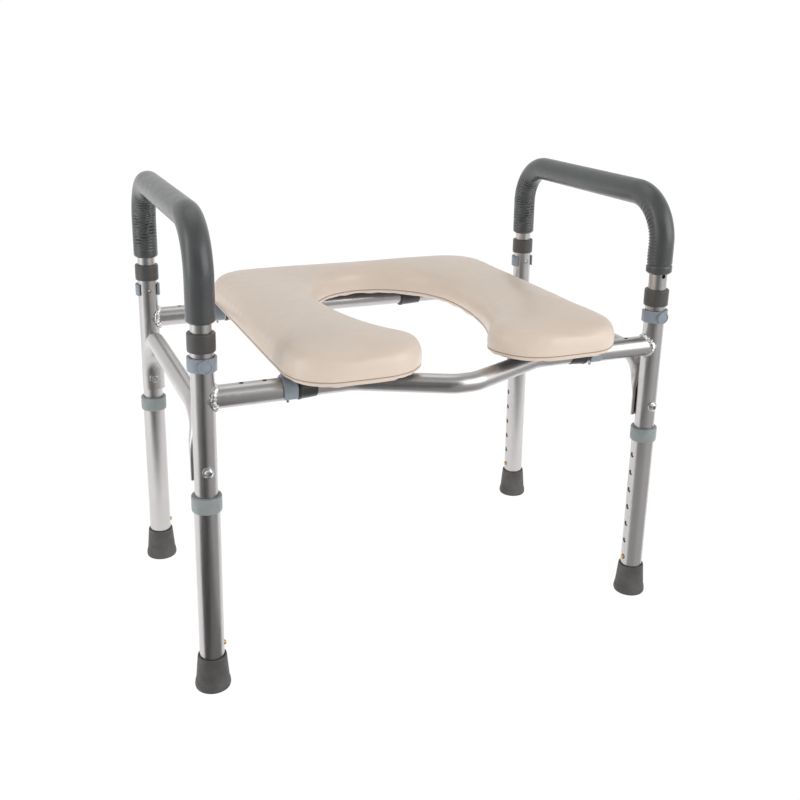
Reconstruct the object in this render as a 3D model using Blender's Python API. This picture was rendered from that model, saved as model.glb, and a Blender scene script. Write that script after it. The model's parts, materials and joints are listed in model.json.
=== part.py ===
"""Commode chair with an open-front padded seat.

Two side frames, each two uprights, two welded cross stubs and a bolted rail, slide on a front and a rear
cross bar. Lower legs slide over the uprights for height, armrest loops slide inside them, and spring clips
with a pin lock the armrests and the width. The seat hinges on the rear cross bar.

Metres, +Z up, front of the chair towards -Y, left is -X. The origin is on the floor, in the middle of the
chair's outline.
"""

import math

import bmesh
import bpy
from mathutils import Matrix, Vector

# Overall layout
HALF_WIDTH = 0.2928  # leg axis to the middle plane, at the floor
HALF_DEPTH = 0.1675  # leg axis to the plane midway between the front and rear legs
LEAN = math.radians(1.2)  # each side frame leans in towards the seat
LEG_MIDDLE_Y = 0.0220  # that midway plane, in a frame centred on the whole outline
BAR_Z = 0.3571  # axis of the cross bars and cross stubs
HOLE_PITCH = 0.0254
GAP = 0.0003  # between pieces that touch

# Tubes: outer radius and wall
WALL = 0.0012
LEG_R = 0.0143
UPRIGHT_R = 0.0127
BAR_R = 0.0111
SIDES = 16  # facets round a tube
HOLE_SIDES = 6
BUTTON_SIDES = 8

# Heights along a leg, from the floor
TIP_HEIGHT = 0.0430
TIP_FLOOR = 0.0085
LEG_BOTTOM = TIP_FLOOR + GAP
LEG_TOP = 0.2445
UPRIGHT_BOTTOM = 0.035
UPRIGHT_TOP = 0.4280
BUTTON_Z = 0.0547
LEG_HOLES = 7
BOLT_Z = 0.2770
ARM_PIN_Z = 0.3965
COLLAR_HEIGHT = 0.0205
LEG_COLLAR_HEIGHT = 0.0185
COLLAR_LIP = 0.0022

# Width adjustment
STUB_END_X = 0.1840
SLEEVE_END_X = 0.1620
WIDTH_PIN_X = 0.1935
STUB_HOLES = 3
BAR_END_X = 0.2150

# Front cross bar: it bows forward between the two seat lobes
BOW_START_X = 0.1182
BOW_FLAT_X = 0.0124
BOW_DEPTH = 0.0447
BOW_DROP = 0.0020
BOW_BEND_R = 0.0450

# Armrest loop
ARM_TOP = 0.5412
ARM_BEND_R = 0.0560
ARM_BOTTOM = 0.3050
ARM_HOLES_BELOW = 3
ARM_HOLES_ABOVE = 2
GRIP_R = 0.0154
GRIP_END = 0.4400
RIGHT_FRONT_GRIP_END = 0.4500  # this grip has crept up its tube

# Side rail
RAIL_Z = 0.3375
RAIL_END_Z = 0.2610
RAIL_BEND_R = 0.0360
RAIL_FLAT_HALF = 0.0034
RAIL_FLAT_WIDE = 0.0130
RAIL_BITE = 0.0014  # how deep the flattened end is pressed round the upright

# Seat
SEAT_HALF_WIDTH = 0.2050
SEAT_FRONT = -0.2370
SEAT_REAR = 0.1930
FRONT_CORNER_R = 0.0520
REAR_CORNER_R = 0.0580
SEAT_BOTTOM = 0.3757
SEAT_TOP = 0.4130
OPENING_HALF_WIDTH = 0.0955
OPENING_CENTRE_Y = 0.0130
OPENING_REAR_REACH = 0.1120  # its outline is half an ellipse behind the centre
OPENING_FRONT_REACH = 0.2060  # and part of a longer one ahead of it
NARROWEST_Y = -0.1720
LOBE_CORNER_R = 0.0600
BASE_INSET = 0.0040
BASE_THICK = 0.0077
REST_X = 0.1000
REST_Y = -0.1750
REST_SIZE = (0.022, 0.026)
SADDLE_X = 0.0930
SADDLE_LENGTH = 0.0300
SADDLE_R = (0.0142, 0.0124)

# Locks
PIN_R = 0.0022
PIN_HOLE_R = 0.0027
CLIP_IN_R = 0.0132
CLIP_OUT_R = 0.0158
CLIP_WIDTH = 0.0150
CLIP_ARC = math.radians(252)
CLIP_HEAD_R = 0.0075
CLIP_HEAD_OUT = 0.0182
ARM_PIN_TIP = 0.0126
WIDTH_PIN_TIP = 0.0162
BUTTON_R = 0.0031
BUTTON_HOLE_R = 0.0034
BUTTON_FROM = 0.0107
BUTTON_TO = 0.0163
BOLT_R = 0.0028
BOLT_HOLE_R = 0.0033
SPRING_OUT = 0.0100
SPRING_HALF_THICK = 0.00035
SPRING_HALF_WIDTH = 0.0040

SIDE_SIGN = {"left": -1, "right": 1}
END_SIGN = {"front": -1, "rear": 1}


def material(name, colour, roughness, metallic=0.0):
    """A Principled material."""
    mat = bpy.data.materials.new(name)
    mat.use_nodes = True
    shader = mat.node_tree.nodes["Principled BSDF"]
    shader.inputs["Base Color"].default_value = (*colour, 1.0)
    shader.inputs["Roughness"].default_value = roughness
    shader.inputs["Metallic"].default_value = metallic
    return mat


def smooth(mesh):
    mesh.shade_smooth()
    mesh.set_sharp_from_angle(angle=math.radians(35))


def add(name, bm, mat, place=None):
    """A named object from a bmesh, placed by its world matrix."""
    bmesh.ops.remove_doubles(bm, verts=bm.verts, dist=1e-7)
    bmesh.ops.recalc_face_normals(bm, faces=bm.faces)
    mesh = bpy.data.meshes.new(name)
    bm.to_mesh(mesh)
    bm.free()
    smooth(mesh)
    mesh.materials.append(mat)
    return add_mesh(name, mesh, place)


def add_mesh(name, mesh, place=None):
    """A named object that may share its mesh with another."""
    obj = bpy.data.objects.new(name, mesh)
    bpy.context.collection.objects.link(obj)
    obj.matrix_world = place or Matrix()
    return obj


def combine(obj, tool_bm, operation, place=None):
    """Cut, or join, a tool shape into an object, and keep the resulting mesh. place is the tool's."""
    tool = add("tool", tool_bm, obj.data.materials[0], place or obj.matrix_world)
    modifier = obj.modifiers.new("combine", "BOOLEAN")
    modifier.operation = operation
    modifier.solver = "EXACT"
    modifier.object = tool
    bpy.context.view_layer.update()
    graph = bpy.context.evaluated_depsgraph_get()
    mesh = bpy.data.meshes.new_from_object(obj.evaluated_get(graph))
    obj.modifiers.remove(modifier)
    bpy.data.objects.remove(tool)
    obj.data = mesh
    mesh.name = obj.name
    smooth(mesh)


def ring(bm, frame, radius_x, radius_y, sides=SIDES):
    """Points of an ellipse in a frame's XY plane."""
    points = []
    for k in range(sides):
        angle = 2 * math.pi * k / sides
        at = Vector((radius_x * math.cos(angle), radius_y * math.sin(angle), 0))
        points.append(bm.verts.new(frame @ at))
    return points


def bridge(bm, first, second):
    """Quads between two rings of the same count."""
    count = len(first)
    for k in range(count):
        bm.faces.new((first[k], first[(k + 1) % count], second[(k + 1) % count], second[k]))


def rod(bm, start, end, radius, sides=HOLE_SIDES):
    """A closed cylinder from start to end."""
    start, end = Vector(start), Vector(end)
    turn = (end - start).to_track_quat("Z", "Y").to_matrix().to_4x4()
    low = ring(bm, Matrix.Translation(start) @ turn, radius, radius, sides)
    high = ring(bm, Matrix.Translation(end) @ turn, radius, radius, sides)
    bridge(bm, low, high)
    bm.faces.new(list(reversed(low)))
    bm.faces.new(high)


def block(bm, low, high):
    """A closed box between two corners."""
    middle = (Vector(low) + Vector(high)) / 2
    size = Vector(high) - Vector(low)
    place = Matrix.Translation(middle) @ Matrix.Diagonal((*size, 1))
    bmesh.ops.create_cube(bm, size=1, matrix=place)


def turned(profile, sides=SIDES):
    """A body turned about Z from a closed profile of (radius, height) points."""
    bm = bmesh.new()
    points = [bm.verts.new((radius, 0, height)) for radius, height in profile]
    edges = [bm.edges.new((a, b)) for a, b in zip(points, points[1:] + points[:1], strict=True)]
    bmesh.ops.spin(
        bm,
        geom=points + edges,
        cent=(0, 0, 0),
        axis=(0, 0, 1),
        angle=2 * math.pi,
        steps=sides,
        use_merge=True,
    )
    bmesh.ops.remove_doubles(bm, verts=bm.verts, dist=1e-7)
    axis_edges = [e for e in bm.edges if not e.link_faces]
    bmesh.ops.delete(bm, geom=axis_edges, context="EDGES")
    return bm


def rounded(points, radius, steps):
    """Stations (point, direction) along straight runs joined by arcs."""
    points = [Vector(p) for p in points]
    first = (points[1] - points[0]).normalized()
    last = (points[-1] - points[-2]).normalized()
    stations = [(points[0], first)]
    for before, corner, after in zip(points, points[1:], points[2:], strict=False):
        arrive = (corner - before).normalized()
        leave = (after - corner).normalized()
        turn = arrive.angle(leave)
        reach = radius * math.tan(turn / 2)
        inward = (leave - arrive).normalized()
        centre = corner + inward * radius / math.cos(turn / 2)
        axis = arrive.cross(leave).normalized()
        start = corner - arrive * reach
        for k in range(steps + 1):
            swing = Matrix.Rotation(turn * k / steps, 3, axis)
            stations.append((centre + swing @ (start - centre), swing @ arrive))
    stations.append((points[-1], last))
    return stations


def frame_at(point, direction, normal):
    """A frame with Z along the direction and X along the part of normal square to it."""
    z = direction.normalized()
    x = (normal - normal.dot(z) * z).normalized()
    y = z.cross(x)
    turn = Matrix((x, y, z)).transposed().to_4x4()
    return Matrix.Translation(point) @ turn


def tube(stations, normal, radius, wall, shape=None):
    """An open-ended tube along stations. shape(point) may give the section's two outer radii."""
    bm = bmesh.new()
    outer, inner = [], []
    for point, direction in stations:
        frame = frame_at(point, direction, normal)
        wide, thick = shape(point) if shape else (radius, radius)
        outer.append(ring(bm, frame, wide, thick))
        inner.append(ring(bm, frame, wide - wall, thick - wall))
    for rings in (outer, inner):
        for first, second in zip(rings, rings[1:], strict=False):
            bridge(bm, first, second)
    bridge(bm, outer[0], inner[0])
    bridge(bm, outer[-1], inner[-1])
    return bm


def straight_tube(start, end, normal, radius, wall):
    start, end = Vector(start), Vector(end)
    direction = end - start
    return tube([(start, direction), (end, direction)], normal, radius, wall)


def side_place(side):
    """A side frame's own frame: Z up along its leaning legs, origin midway between them on the floor."""
    sign = SIDE_SIGN[side]
    lean = Matrix.Rotation(-sign * LEAN, 4, "Y")
    return Matrix.Translation((sign * HALF_WIDTH, LEG_MIDDLE_Y, 0)) @ lean


def leg_place(side, end):
    return side_place(side) @ Matrix.Translation((0, END_SIGN[end] * HALF_DEPTH, 0))


def bar_y(end):
    return LEG_MIDDLE_Y + END_SIGN[end] * HALF_DEPTH


def lower_leg(side, end, mat):
    """Leg tube with its row of button holes on the side that faces the other side frame."""
    inward = -SIDE_SIGN[side]
    bm = straight_tube((0, 0, LEG_BOTTOM), (0, 0, LEG_TOP), Vector((1, 0, 0)), LEG_R, WALL)
    obj = add(f"{end}_{side}_lower_leg", bm, mat, leg_place(side, end))
    holes = bmesh.new()
    for k in range(LEG_HOLES):
        z = BUTTON_Z + k * HOLE_PITCH
        rod(holes, (inward * 0.006, 0, z), (inward * 0.020, 0, z), BUTTON_HOLE_R, BUTTON_SIDES)
    combine(obj, holes, "DIFFERENCE")


def collar(name, place, tube_r, bore_r, outer_r, top, height, mat):
    """A plastic collar that caps a tube's end and guides the tube inside it."""
    shoulder = tube_r + GAP
    profile = (
        (outer_r, top - height),
        (outer_r, top),
        (bore_r + GAP, top),
        (bore_r + GAP, top - COLLAR_LIP + GAP),
        (shoulder, top - COLLAR_LIP + GAP),
        (shoulder, top - height),
    )
    add(name, turned(profile), mat, place)


def rubber_tip(side, end, mat):
    """Flared ferrule, closed below, cut level with the floor."""
    bore = LEG_R + GAP
    profile = (
        (0, 0),
        (0.0200, 0),
        (0.0210, 0.003),
        (0.0168, TIP_HEIGHT - 0.003),
        (0.0160, TIP_HEIGHT),
        (bore, TIP_HEIGHT),
        (bore, TIP_FLOOR),
        (0, TIP_FLOOR),
    )
    bm = turned(profile)
    slope = math.tan(-SIDE_SIGN[side] * LEAN)
    for vert in bm.verts:
        if vert.co.z < TIP_FLOOR / 2:
            vert.co.z += vert.co.x * slope
    add(f"{end}_{side}_rubber_tip", bm, mat, leg_place(side, end))


def upright(side, end, mat):
    """Upright tube with holes for the snap button, the rail bolt and the armrest clip's pin."""
    inward = -SIDE_SIGN[side]
    bm = straight_tube((0, 0, UPRIGHT_BOTTOM), (0, 0, UPRIGHT_TOP), Vector((1, 0, 0)), UPRIGHT_R, WALL)
    obj = add(f"{end}_{side}_upright", bm, mat, leg_place(side, end))
    holes = bmesh.new()
    button_from, button_to = (inward * 0.006, 0, BUTTON_Z), (inward * 0.020, 0, BUTTON_Z)
    rod(holes, button_from, button_to, BUTTON_HOLE_R, BUTTON_SIDES)
    rod(holes, (0, -0.020, BOLT_Z), (0, 0.020, BOLT_Z), BOLT_HOLE_R)
    rod(holes, (0, -0.020, ARM_PIN_Z), (0, 0.020, ARM_PIN_Z), PIN_HOLE_R)
    combine(obj, holes, "DIFFERENCE")


def cross_stub(side, end, mat):
    """Stub that reaches in from the upright, its outer end shaped round the upright."""
    sign = SIDE_SIGN[side]
    y = bar_y(end)
    foot_x = sign * (HALF_WIDTH - math.tan(LEAN) * BAR_Z)
    start, stop = Vector((foot_x, y, BAR_Z)), Vector((sign * STUB_END_X, y, BAR_Z))
    place = Matrix.Translation(stop)
    bm = straight_tube(start - stop, (0, 0, 0), Vector((0, 0, 1)), UPRIGHT_R, WALL)
    obj = add(f"{end}_{side}_cross_stub", bm, mat, place)
    post = bmesh.new()
    rod(post, (0, 0, BAR_Z - 0.05), (0, 0, BAR_Z + 0.05), UPRIGHT_R + GAP, SIDES)
    combine(obj, post, "DIFFERENCE", leg_place(side, end))
    holes = bmesh.new()
    for k in range(STUB_HOLES):
        x = sign * (WIDTH_PIN_X - STUB_END_X + k * HOLE_PITCH)
        rod(holes, (x, 0, -0.020), (x, 0, 0.020), PIN_HOLE_R)
    combine(obj, holes, "DIFFERENCE")


def stub_sleeve(side, end, mat):
    """Tapered sleeve that guides the cross bar where it enters the stub."""
    sign = SIDE_SIGN[side]
    length = STUB_END_X - SLEEVE_END_X - GAP
    profile = (
        (0.0135, 0),
        (0.0135, 0.004),
        (0.0122, length),
        (BAR_R + GAP, length),
        (BAR_R + GAP, 0),
    )
    inward = Matrix.Rotation(-sign * math.pi / 2, 4, "Y")
    place = Matrix.Translation((sign * (STUB_END_X - GAP), bar_y(end), BAR_Z)) @ inward
    add(f"{end}_{side}_stub_sleeve", turned(profile), mat, place)


def side_rail(side, mat):
    """Rail whose ends turn down, are flattened and pressed round the uprights."""
    flat_y = HALF_DEPTH - UPRIGHT_R - GAP - RAIL_FLAT_HALF + RAIL_BITE
    corners = (
        (0, -flat_y, RAIL_END_Z),
        (0, -flat_y, BOLT_Z + 0.012),
        (0, -flat_y, RAIL_Z),
        (0, flat_y, RAIL_Z),
        (0, flat_y, BOLT_Z + 0.012),
        (0, flat_y, RAIL_END_Z),
    )
    bends = rounded([corners[0], corners[2], corners[3], corners[5]], RAIL_BEND_R, 3)
    up = (Vector(corners[1]), bends[0][1])
    down = (Vector(corners[4]), bends[-1][1])
    stations = [bends[0], up, *bends[1:-1], down, bends[-1]]

    def section(point):
        rise = (point.z - BOLT_Z - 0.012) / (RAIL_Z - BOLT_Z - 0.012)
        blend = min(max(rise * 1.4, 0), 1)
        wide = RAIL_FLAT_WIDE + (BAR_R - RAIL_FLAT_WIDE) * blend
        thick = RAIL_FLAT_HALF + (BAR_R - RAIL_FLAT_HALF) * blend
        return wide, thick

    bm = tube(stations, Vector((1, 0, 0)), BAR_R, WALL, section)
    obj = add(f"{side}_side_rail", bm, mat, side_place(side))
    for end, sign in END_SIGN.items():
        post = bmesh.new()
        rod(post, (0, 0, 0.20), (0, 0, 0.40), UPRIGHT_R + GAP, SIDES)
        combine(obj, post, "DIFFERENCE", leg_place(side, end))
        hole = bmesh.new()
        rod(hole, (0, sign * (HALF_DEPTH - 0.030), BOLT_Z), (0, sign * HALF_DEPTH, BOLT_Z), BOLT_HOLE_R)
        combine(obj, hole, "DIFFERENCE")


def rail_bolt(side, end, mat):
    """Bolt with washers and nut: its head is always at the front."""
    rail_side = UPRIGHT_R + 2 * RAIL_FLAT_HALF - RAIL_BITE + 2 * GAP
    head_at = UPRIGHT_R + GAP if end == "front" else rail_side
    nut_at = rail_side if end == "front" else UPRIGHT_R + GAP
    profile = (
        (0, -head_at - 0.0042),
        (0.0045, -head_at - 0.0042),
        (0.0052, -head_at - 0.0010),
        (0.0066, -head_at - 0.0010),
        (0.0066, -head_at),
        (BOLT_R, -head_at),
        (BOLT_R, nut_at),
        (0.0066, nut_at),
        (0.0066, nut_at + 0.0010),
        (0.0050, nut_at + 0.0010),
        (0.0050, nut_at + 0.0046),
        (0, nut_at + 0.0046),
    )
    along_y = Matrix.Rotation(-math.pi / 2, 4, "X")
    place = leg_place(side, end) @ Matrix.Translation((0, 0, BOLT_Z)) @ along_y
    add(f"{end}_{side}_rail_bolt", turned(profile, 8), mat, place)


def clip_mesh(pin_tip, mat):
    """Spring clip: a C-shaped band round Z, a round head on its +X side and a pin through to -X."""
    band = bmesh.new()
    half = CLIP_WIDTH / 2
    corners = ((CLIP_IN_R, -half), (CLIP_OUT_R, -half), (CLIP_OUT_R, half), (CLIP_IN_R, half))
    turn = Matrix.Rotation(-CLIP_ARC / 2, 3, "Z")
    face = band.faces.new([band.verts.new(turn @ Vector((r, 0, z))) for r, z in corners])
    bmesh.ops.spin(
        band,
        geom=[face, *face.edges, *face.verts],
        cent=(0, 0, 0),
        axis=(0, 0, 1),
        angle=CLIP_ARC,
        steps=9,
    )
    obj = add("clip", band, mat)
    head = bmesh.new()
    rod(head, (CLIP_OUT_R - 0.0015, 0, 0), (CLIP_HEAD_OUT, 0, 0), CLIP_HEAD_R - 0.0001, 10)
    combine(obj, head, "UNION")
    pin = bmesh.new()
    rod(pin, (CLIP_OUT_R - 0.0005, 0, 0), (-pin_tip, 0, 0), PIN_R, 8)
    combine(obj, pin, "UNION")
    mesh = obj.data
    bpy.data.objects.remove(obj)
    return mesh


def place_clips(mat):
    """Armrest clips, heads facing out of the chair, and width clips, heads up."""
    arm_mesh = clip_mesh(ARM_PIN_TIP, mat)
    width_mesh = clip_mesh(WIDTH_PIN_TIP, mat)
    for side, side_sign in SIDE_SIGN.items():
        for end, end_sign in END_SIGN.items():
            outward = Matrix.Rotation(end_sign * math.pi / 2, 4, "Z")
            place = leg_place(side, end) @ Matrix.Translation((0, 0, ARM_PIN_Z)) @ outward
            add_mesh(f"{end}_{side}_arm_clip", arm_mesh, place)
            head_up = Matrix.Rotation(-math.pi / 2, 4, "Y")
            place = Matrix.Translation((side_sign * WIDTH_PIN_X, bar_y(end), BAR_Z)) @ head_up
            add_mesh(f"{end}_{side}_width_clip", width_mesh, place)


def snap_button(side, end, mat):
    """Round button that the spring pushes out through the upright and the lower leg."""
    profile = (
        (0, 0),
        (BUTTON_R, 0),
        (BUTTON_R, BUTTON_TO - BUTTON_FROM - 0.0012),
        (BUTTON_R - 0.0012, BUTTON_TO - BUTTON_FROM),
        (0, BUTTON_TO - BUTTON_FROM),
    )
    inward = -SIDE_SIGN[side]
    along = Matrix.Rotation(inward * math.pi / 2, 4, "Y")
    place = leg_place(side, end) @ Matrix.Translation((inward * BUTTON_FROM, 0, BUTTON_Z)) @ along
    add(f"{end}_{side}_snap_button", turned(profile, BUTTON_SIDES), mat, place)


def snap_spring(side, end, mat):
    """Leaf spring folded over at the top, its two legs against the inside of the upright."""
    foot, knee, fold = BUTTON_Z - 0.006, BUTTON_Z + 0.006, BUTTON_Z + 0.032
    half = ((SPRING_OUT, foot), (SPRING_OUT, knee), (0.0040, fold), (0.0015, fold + 0.003))
    middle = [*half, *[(-x, z) for x, z in reversed(half)]]
    outer, inner = [], []
    for k, (x, z) in enumerate(middle):
        before = Vector(middle[max(k - 1, 0)])
        after = Vector(middle[min(k + 1, len(middle) - 1)])
        along = (after - before).normalized()
        shift = Vector((along.y, -along.x)) * SPRING_HALF_THICK
        outer.append((x + shift.x, z + shift.y))
        inner.append((x - shift.x, z - shift.y))
    bm = bmesh.new()
    near, far = (
        [[bm.verts.new((x, y, z)) for x, z in line] for line in (outer, inner)]
        for y in (-SPRING_HALF_WIDTH, SPRING_HALF_WIDTH)
    )
    loops = [[near[0][k], near[1][k], far[1][k], far[0][k]] for k in range(len(middle))]
    for first, second in zip(loops, loops[1:], strict=False):
        bridge(bm, first, second)
    bm.faces.new(loops[0])
    bm.faces.new(loops[-1])
    add(f"{end}_{side}_snap_spring", bm, mat, leg_place(side, end))


def arm_stations(front_z, rear_z):
    corners = (
        (0, -HALF_DEPTH, front_z),
        (0, -HALF_DEPTH, ARM_TOP),
        (0, HALF_DEPTH, ARM_TOP),
        (0, HALF_DEPTH, rear_z),
    )
    return rounded(corners, ARM_BEND_R, 3)


def armrest_tube(side, mat):
    """Armrest loop with a row of pin holes in each leg."""
    bm = tube(arm_stations(ARM_BOTTOM, ARM_BOTTOM), Vector((1, 0, 0)), BAR_R, WALL)
    obj = add(f"{side}_armrest_tube", bm, mat, side_place(side))
    holes = bmesh.new()
    for sign in END_SIGN.values():
        for k in range(-ARM_HOLES_BELOW, ARM_HOLES_ABOVE + 1):
            z = ARM_PIN_Z + k * HOLE_PITCH
            y = sign * HALF_DEPTH
            rod(holes, (0, y - 0.020, z), (0, y + 0.020, z), PIN_HOLE_R)
    combine(obj, holes, "DIFFERENCE")


def armrest_grip(side, mat):
    """Padded sleeve over the armrest's bends and top."""
    front_z = GRIP_END if side == "left" else RIGHT_FRONT_GRIP_END
    wall = GRIP_R - BAR_R - GAP
    bm = tube(arm_stations(front_z, GRIP_END), Vector((1, 0, 0)), GRIP_R, wall)
    add(f"{side}_armrest_grip", bm, mat, side_place(side))


def cross_bar(end, mat):
    """Bar that joins the side frames; the front one bows forward, the rear one is straight."""
    bow = ((BAR_END_X, 0, 0), (BOW_START_X, 0, 0), (BOW_FLAT_X, -BOW_DEPTH, -BOW_DROP))
    corners = [*[(-x, y, z) for x, y, z in bow], *reversed(bow)]
    if end == "front":
        stations = rounded(corners, BOW_BEND_R, 2)
    else:
        stations = rounded([corners[0], corners[-1]], BOW_BEND_R, 1)
    bm = tube(stations, Vector((0, 0, 1)), BAR_R, WALL)
    obj = add(f"{end}_cross_bar", bm, mat, Matrix.Translation((0, bar_y(end), BAR_Z)))
    holes = bmesh.new()
    for sign in SIDE_SIGN.values():
        x = sign * WIDTH_PIN_X
        rod(holes, (x, 0, -0.020), (x, 0, 0.020), PIN_HOLE_R)
    combine(obj, holes, "DIFFERENCE")


def arc(centre, radius, start_deg, end_deg, steps):
    points = []
    for k in range(steps + 1):
        angle = math.radians(start_deg + (end_deg - start_deg) * k / steps)
        points.append((centre[0] + radius * math.cos(angle), centre[1] + radius * math.sin(angle)))
    return points


def ellipse_x(y, reach):
    """Half width of the opening at y, on the ellipse with this reach."""
    return OPENING_HALF_WIDTH * math.sqrt(1 - ((y - OPENING_CENTRE_Y) / reach) ** 2)


def seat_outline():
    """The seat seen from above, anticlockwise: a rounded square with an opening that runs out at the front."""
    half = []
    rear_steps, front_steps = 6, 4
    for k in range(rear_steps):
        angle = math.pi / 2 * k / rear_steps
        x = OPENING_HALF_WIDTH * math.sin(angle)
        half.append((x, OPENING_CENTRE_Y + OPENING_REAR_REACH * math.cos(angle)))
    for k in range(front_steps):
        y = OPENING_CENTRE_Y + (NARROWEST_Y - OPENING_CENTRE_Y) * k / front_steps
        half.append((ellipse_x(y, OPENING_FRONT_REACH), y))
    lobe_x = ellipse_x(NARROWEST_Y, OPENING_FRONT_REACH) + LOBE_CORNER_R
    half += arc((lobe_x, SEAT_FRONT + LOBE_CORNER_R), LOBE_CORNER_R, 180, 270, 4)
    front_corner = (SEAT_HALF_WIDTH - FRONT_CORNER_R, SEAT_FRONT + FRONT_CORNER_R)
    half += arc(front_corner, FRONT_CORNER_R, 270, 360, 4)
    rear_corner = (SEAT_HALF_WIDTH - REAR_CORNER_R, SEAT_REAR - REAR_CORNER_R)
    half += arc(rear_corner, REAR_CORNER_R, 0, 90, 4)
    half.append((0, SEAT_REAR))
    return half + [(-x, y) for x, y in reversed(half[1:-1])]


def inset_loop(bm, outline, inset, z):
    """A ring of points along the outline, moved in by inset, at height z."""
    count = len(outline)
    loop = []
    for k, (x, y) in enumerate(outline):
        before, after = outline[k - 1], outline[(k + 1) % count]
        along = Vector((after[0] - before[0], after[1] - before[1])).normalized()
        loop.append(bm.verts.new((x - along.y * inset, LEG_MIDDLE_Y + y + along.x * inset, z)))
    return loop


def seat_cushion(mat):
    """Crowned pad whose cover wraps down round the base, which sits in a pocket below it."""
    outline = seat_outline()
    pocket_inset = BASE_INSET - GAP
    pocket_top = SEAT_BOTTOM + BASE_THICK + GAP
    levels = (
        (pocket_inset, pocket_top),
        (pocket_inset, SEAT_BOTTOM),
        (0.0010, SEAT_BOTTOM),
        (0.0, SEAT_BOTTOM + 0.004),
        (0.0020, SEAT_TOP - 0.022),
        (0.0070, SEAT_TOP - 0.012),
        (0.0160, SEAT_TOP - 0.004),
        (0.0290, SEAT_TOP),
    )
    bm = bmesh.new()
    loops = [inset_loop(bm, outline, inset, z) for inset, z in levels]
    for first, second in zip(loops, loops[1:], strict=False):
        bridge(bm, first, second)
    bm.faces.new(loops[0])
    bm.faces.new(loops[-1])
    add("seat_cushion", bm, mat)


def seat_base(mat):
    """Moulded base with two rests that stand on the front cross bar."""
    outline = seat_outline()
    bm = bmesh.new()
    low = inset_loop(bm, outline, BASE_INSET, SEAT_BOTTOM)
    high = inset_loop(bm, outline, BASE_INSET, SEAT_BOTTOM + BASE_THICK)
    bridge(bm, low, high)
    bm.faces.new(low)
    bm.faces.new(high)
    obj = add("seat_base", bm, mat)
    rest_bottom = BAR_Z + BAR_R + GAP
    for sign in SIDE_SIGN.values():
        rest = bmesh.new()
        x, y = sign * REST_X, LEG_MIDDLE_Y + REST_Y
        low_corner = (x - REST_SIZE[0] / 2, y - REST_SIZE[1] / 2, rest_bottom)
        high_corner = (x + REST_SIZE[0] / 2, y + REST_SIZE[1] / 2, SEAT_BOTTOM + BASE_THICK / 2)
        block(rest, low_corner, high_corner)
        combine(obj, rest, "UNION")


def seat_saddle(side, mat):
    """Tapered sleeve under the seat that turns on the rear cross bar, its wide rim towards the middle."""
    sign = SIDE_SIGN[side]
    rim_r, end_r = SADDLE_R
    half = SADDLE_LENGTH / 2
    profile = ((0, -half), (rim_r, -half), (rim_r, -half + 0.003), (end_r, half), (0, half))
    outward = Matrix.Rotation(sign * math.pi / 2, 4, "Y")
    place = Matrix.Translation((sign * SADDLE_X, bar_y("rear"), BAR_Z))
    obj = add(f"{side}_seat_saddle", turned(profile), mat, place @ outward)
    neck = bmesh.new()
    block(neck, (-0.011, -0.011, 0.004), (0.011, 0.001, SEAT_BOTTOM - GAP - BAR_Z))
    combine(obj, neck, "UNION", place)
    bore = bmesh.new()
    rod(bore, (-0.03, 0, 0), (0.03, 0, 0), BAR_R + GAP, SIDES)
    combine(obj, bore, "DIFFERENCE", place)


def build():
    for old in list(bpy.data.objects):
        bpy.data.objects.remove(old)
    aluminium = material("anodised_aluminium", (0.70, 0.69, 0.68), 0.35, 1.0)
    rubber = material("tip_rubber", (0.10, 0.10, 0.10), 0.75)
    leg_plastic = material("leg_collar_plastic", (0.42, 0.45, 0.45), 0.5)
    dark_plastic = material("upright_collar_plastic", (0.10, 0.09, 0.085), 0.55)
    black_plastic = material("black_plastic", (0.02, 0.02, 0.02), 0.5)
    clip_plastic = material("clip_plastic", (0.18, 0.23, 0.29), 0.45)
    grip_foam = material("grip_cover", (0.07, 0.075, 0.075), 0.6)
    vinyl = material("seat_vinyl", (0.68, 0.58, 0.50), 0.45)
    base = material("seat_base_plastic", (0.12, 0.12, 0.12), 0.6)
    steel = material("plated_steel", (0.75, 0.75, 0.75), 0.2, 1.0)
    brass = material("brass", (0.60, 0.45, 0.25), 0.35, 1.0)
    for side in SIDE_SIGN:
        for end in END_SIGN:
            name, place = f"{end}_{side}", leg_place(side, end)
            upright(side, end, aluminium)
            cross_stub(side, end, aluminium)
            stub_sleeve(side, end, black_plastic)
            lower_leg(side, end, aluminium)
            rubber_tip(side, end, rubber)
            leg_top = LEG_TOP + COLLAR_LIP
            collar(
                f"{name}_leg_collar", place, LEG_R, UPRIGHT_R, 0.0168, leg_top, LEG_COLLAR_HEIGHT, leg_plastic
            )
            upright_top = UPRIGHT_TOP + COLLAR_LIP
            collar(
                f"{name}_upright_collar", place, UPRIGHT_R, BAR_R, 0.0150, upright_top, COLLAR_HEIGHT, dark_plastic
            )
            rail_bolt(side, end, steel)
            snap_button(side, end, brass)
            snap_spring(side, end, steel)
        side_rail(side, aluminium)
        armrest_tube(side, aluminium)
        armrest_grip(side, grip_foam)
        seat_saddle(side, black_plastic)
    place_clips(clip_plastic)
    cross_bar("front", aluminium)
    cross_bar("rear", aluminium)
    seat_base(base)
    seat_cushion(vinyl)


build()
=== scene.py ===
"""Looks of the commode chair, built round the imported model.

Every tube, weld, collar, clip, bolt, spring and grip is a finer piece that stands for its CAD node,
and the seat pad is blown up by a cloth simulation. Metres, +Z up, front towards -Y, left is -X.
"""

import json
import math

import bmesh
import bpy
from mathutils import Matrix, Vector, noise
from mathutils.bvhtree import BVHTree
from mathutils.kdtree import KDTree


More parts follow.
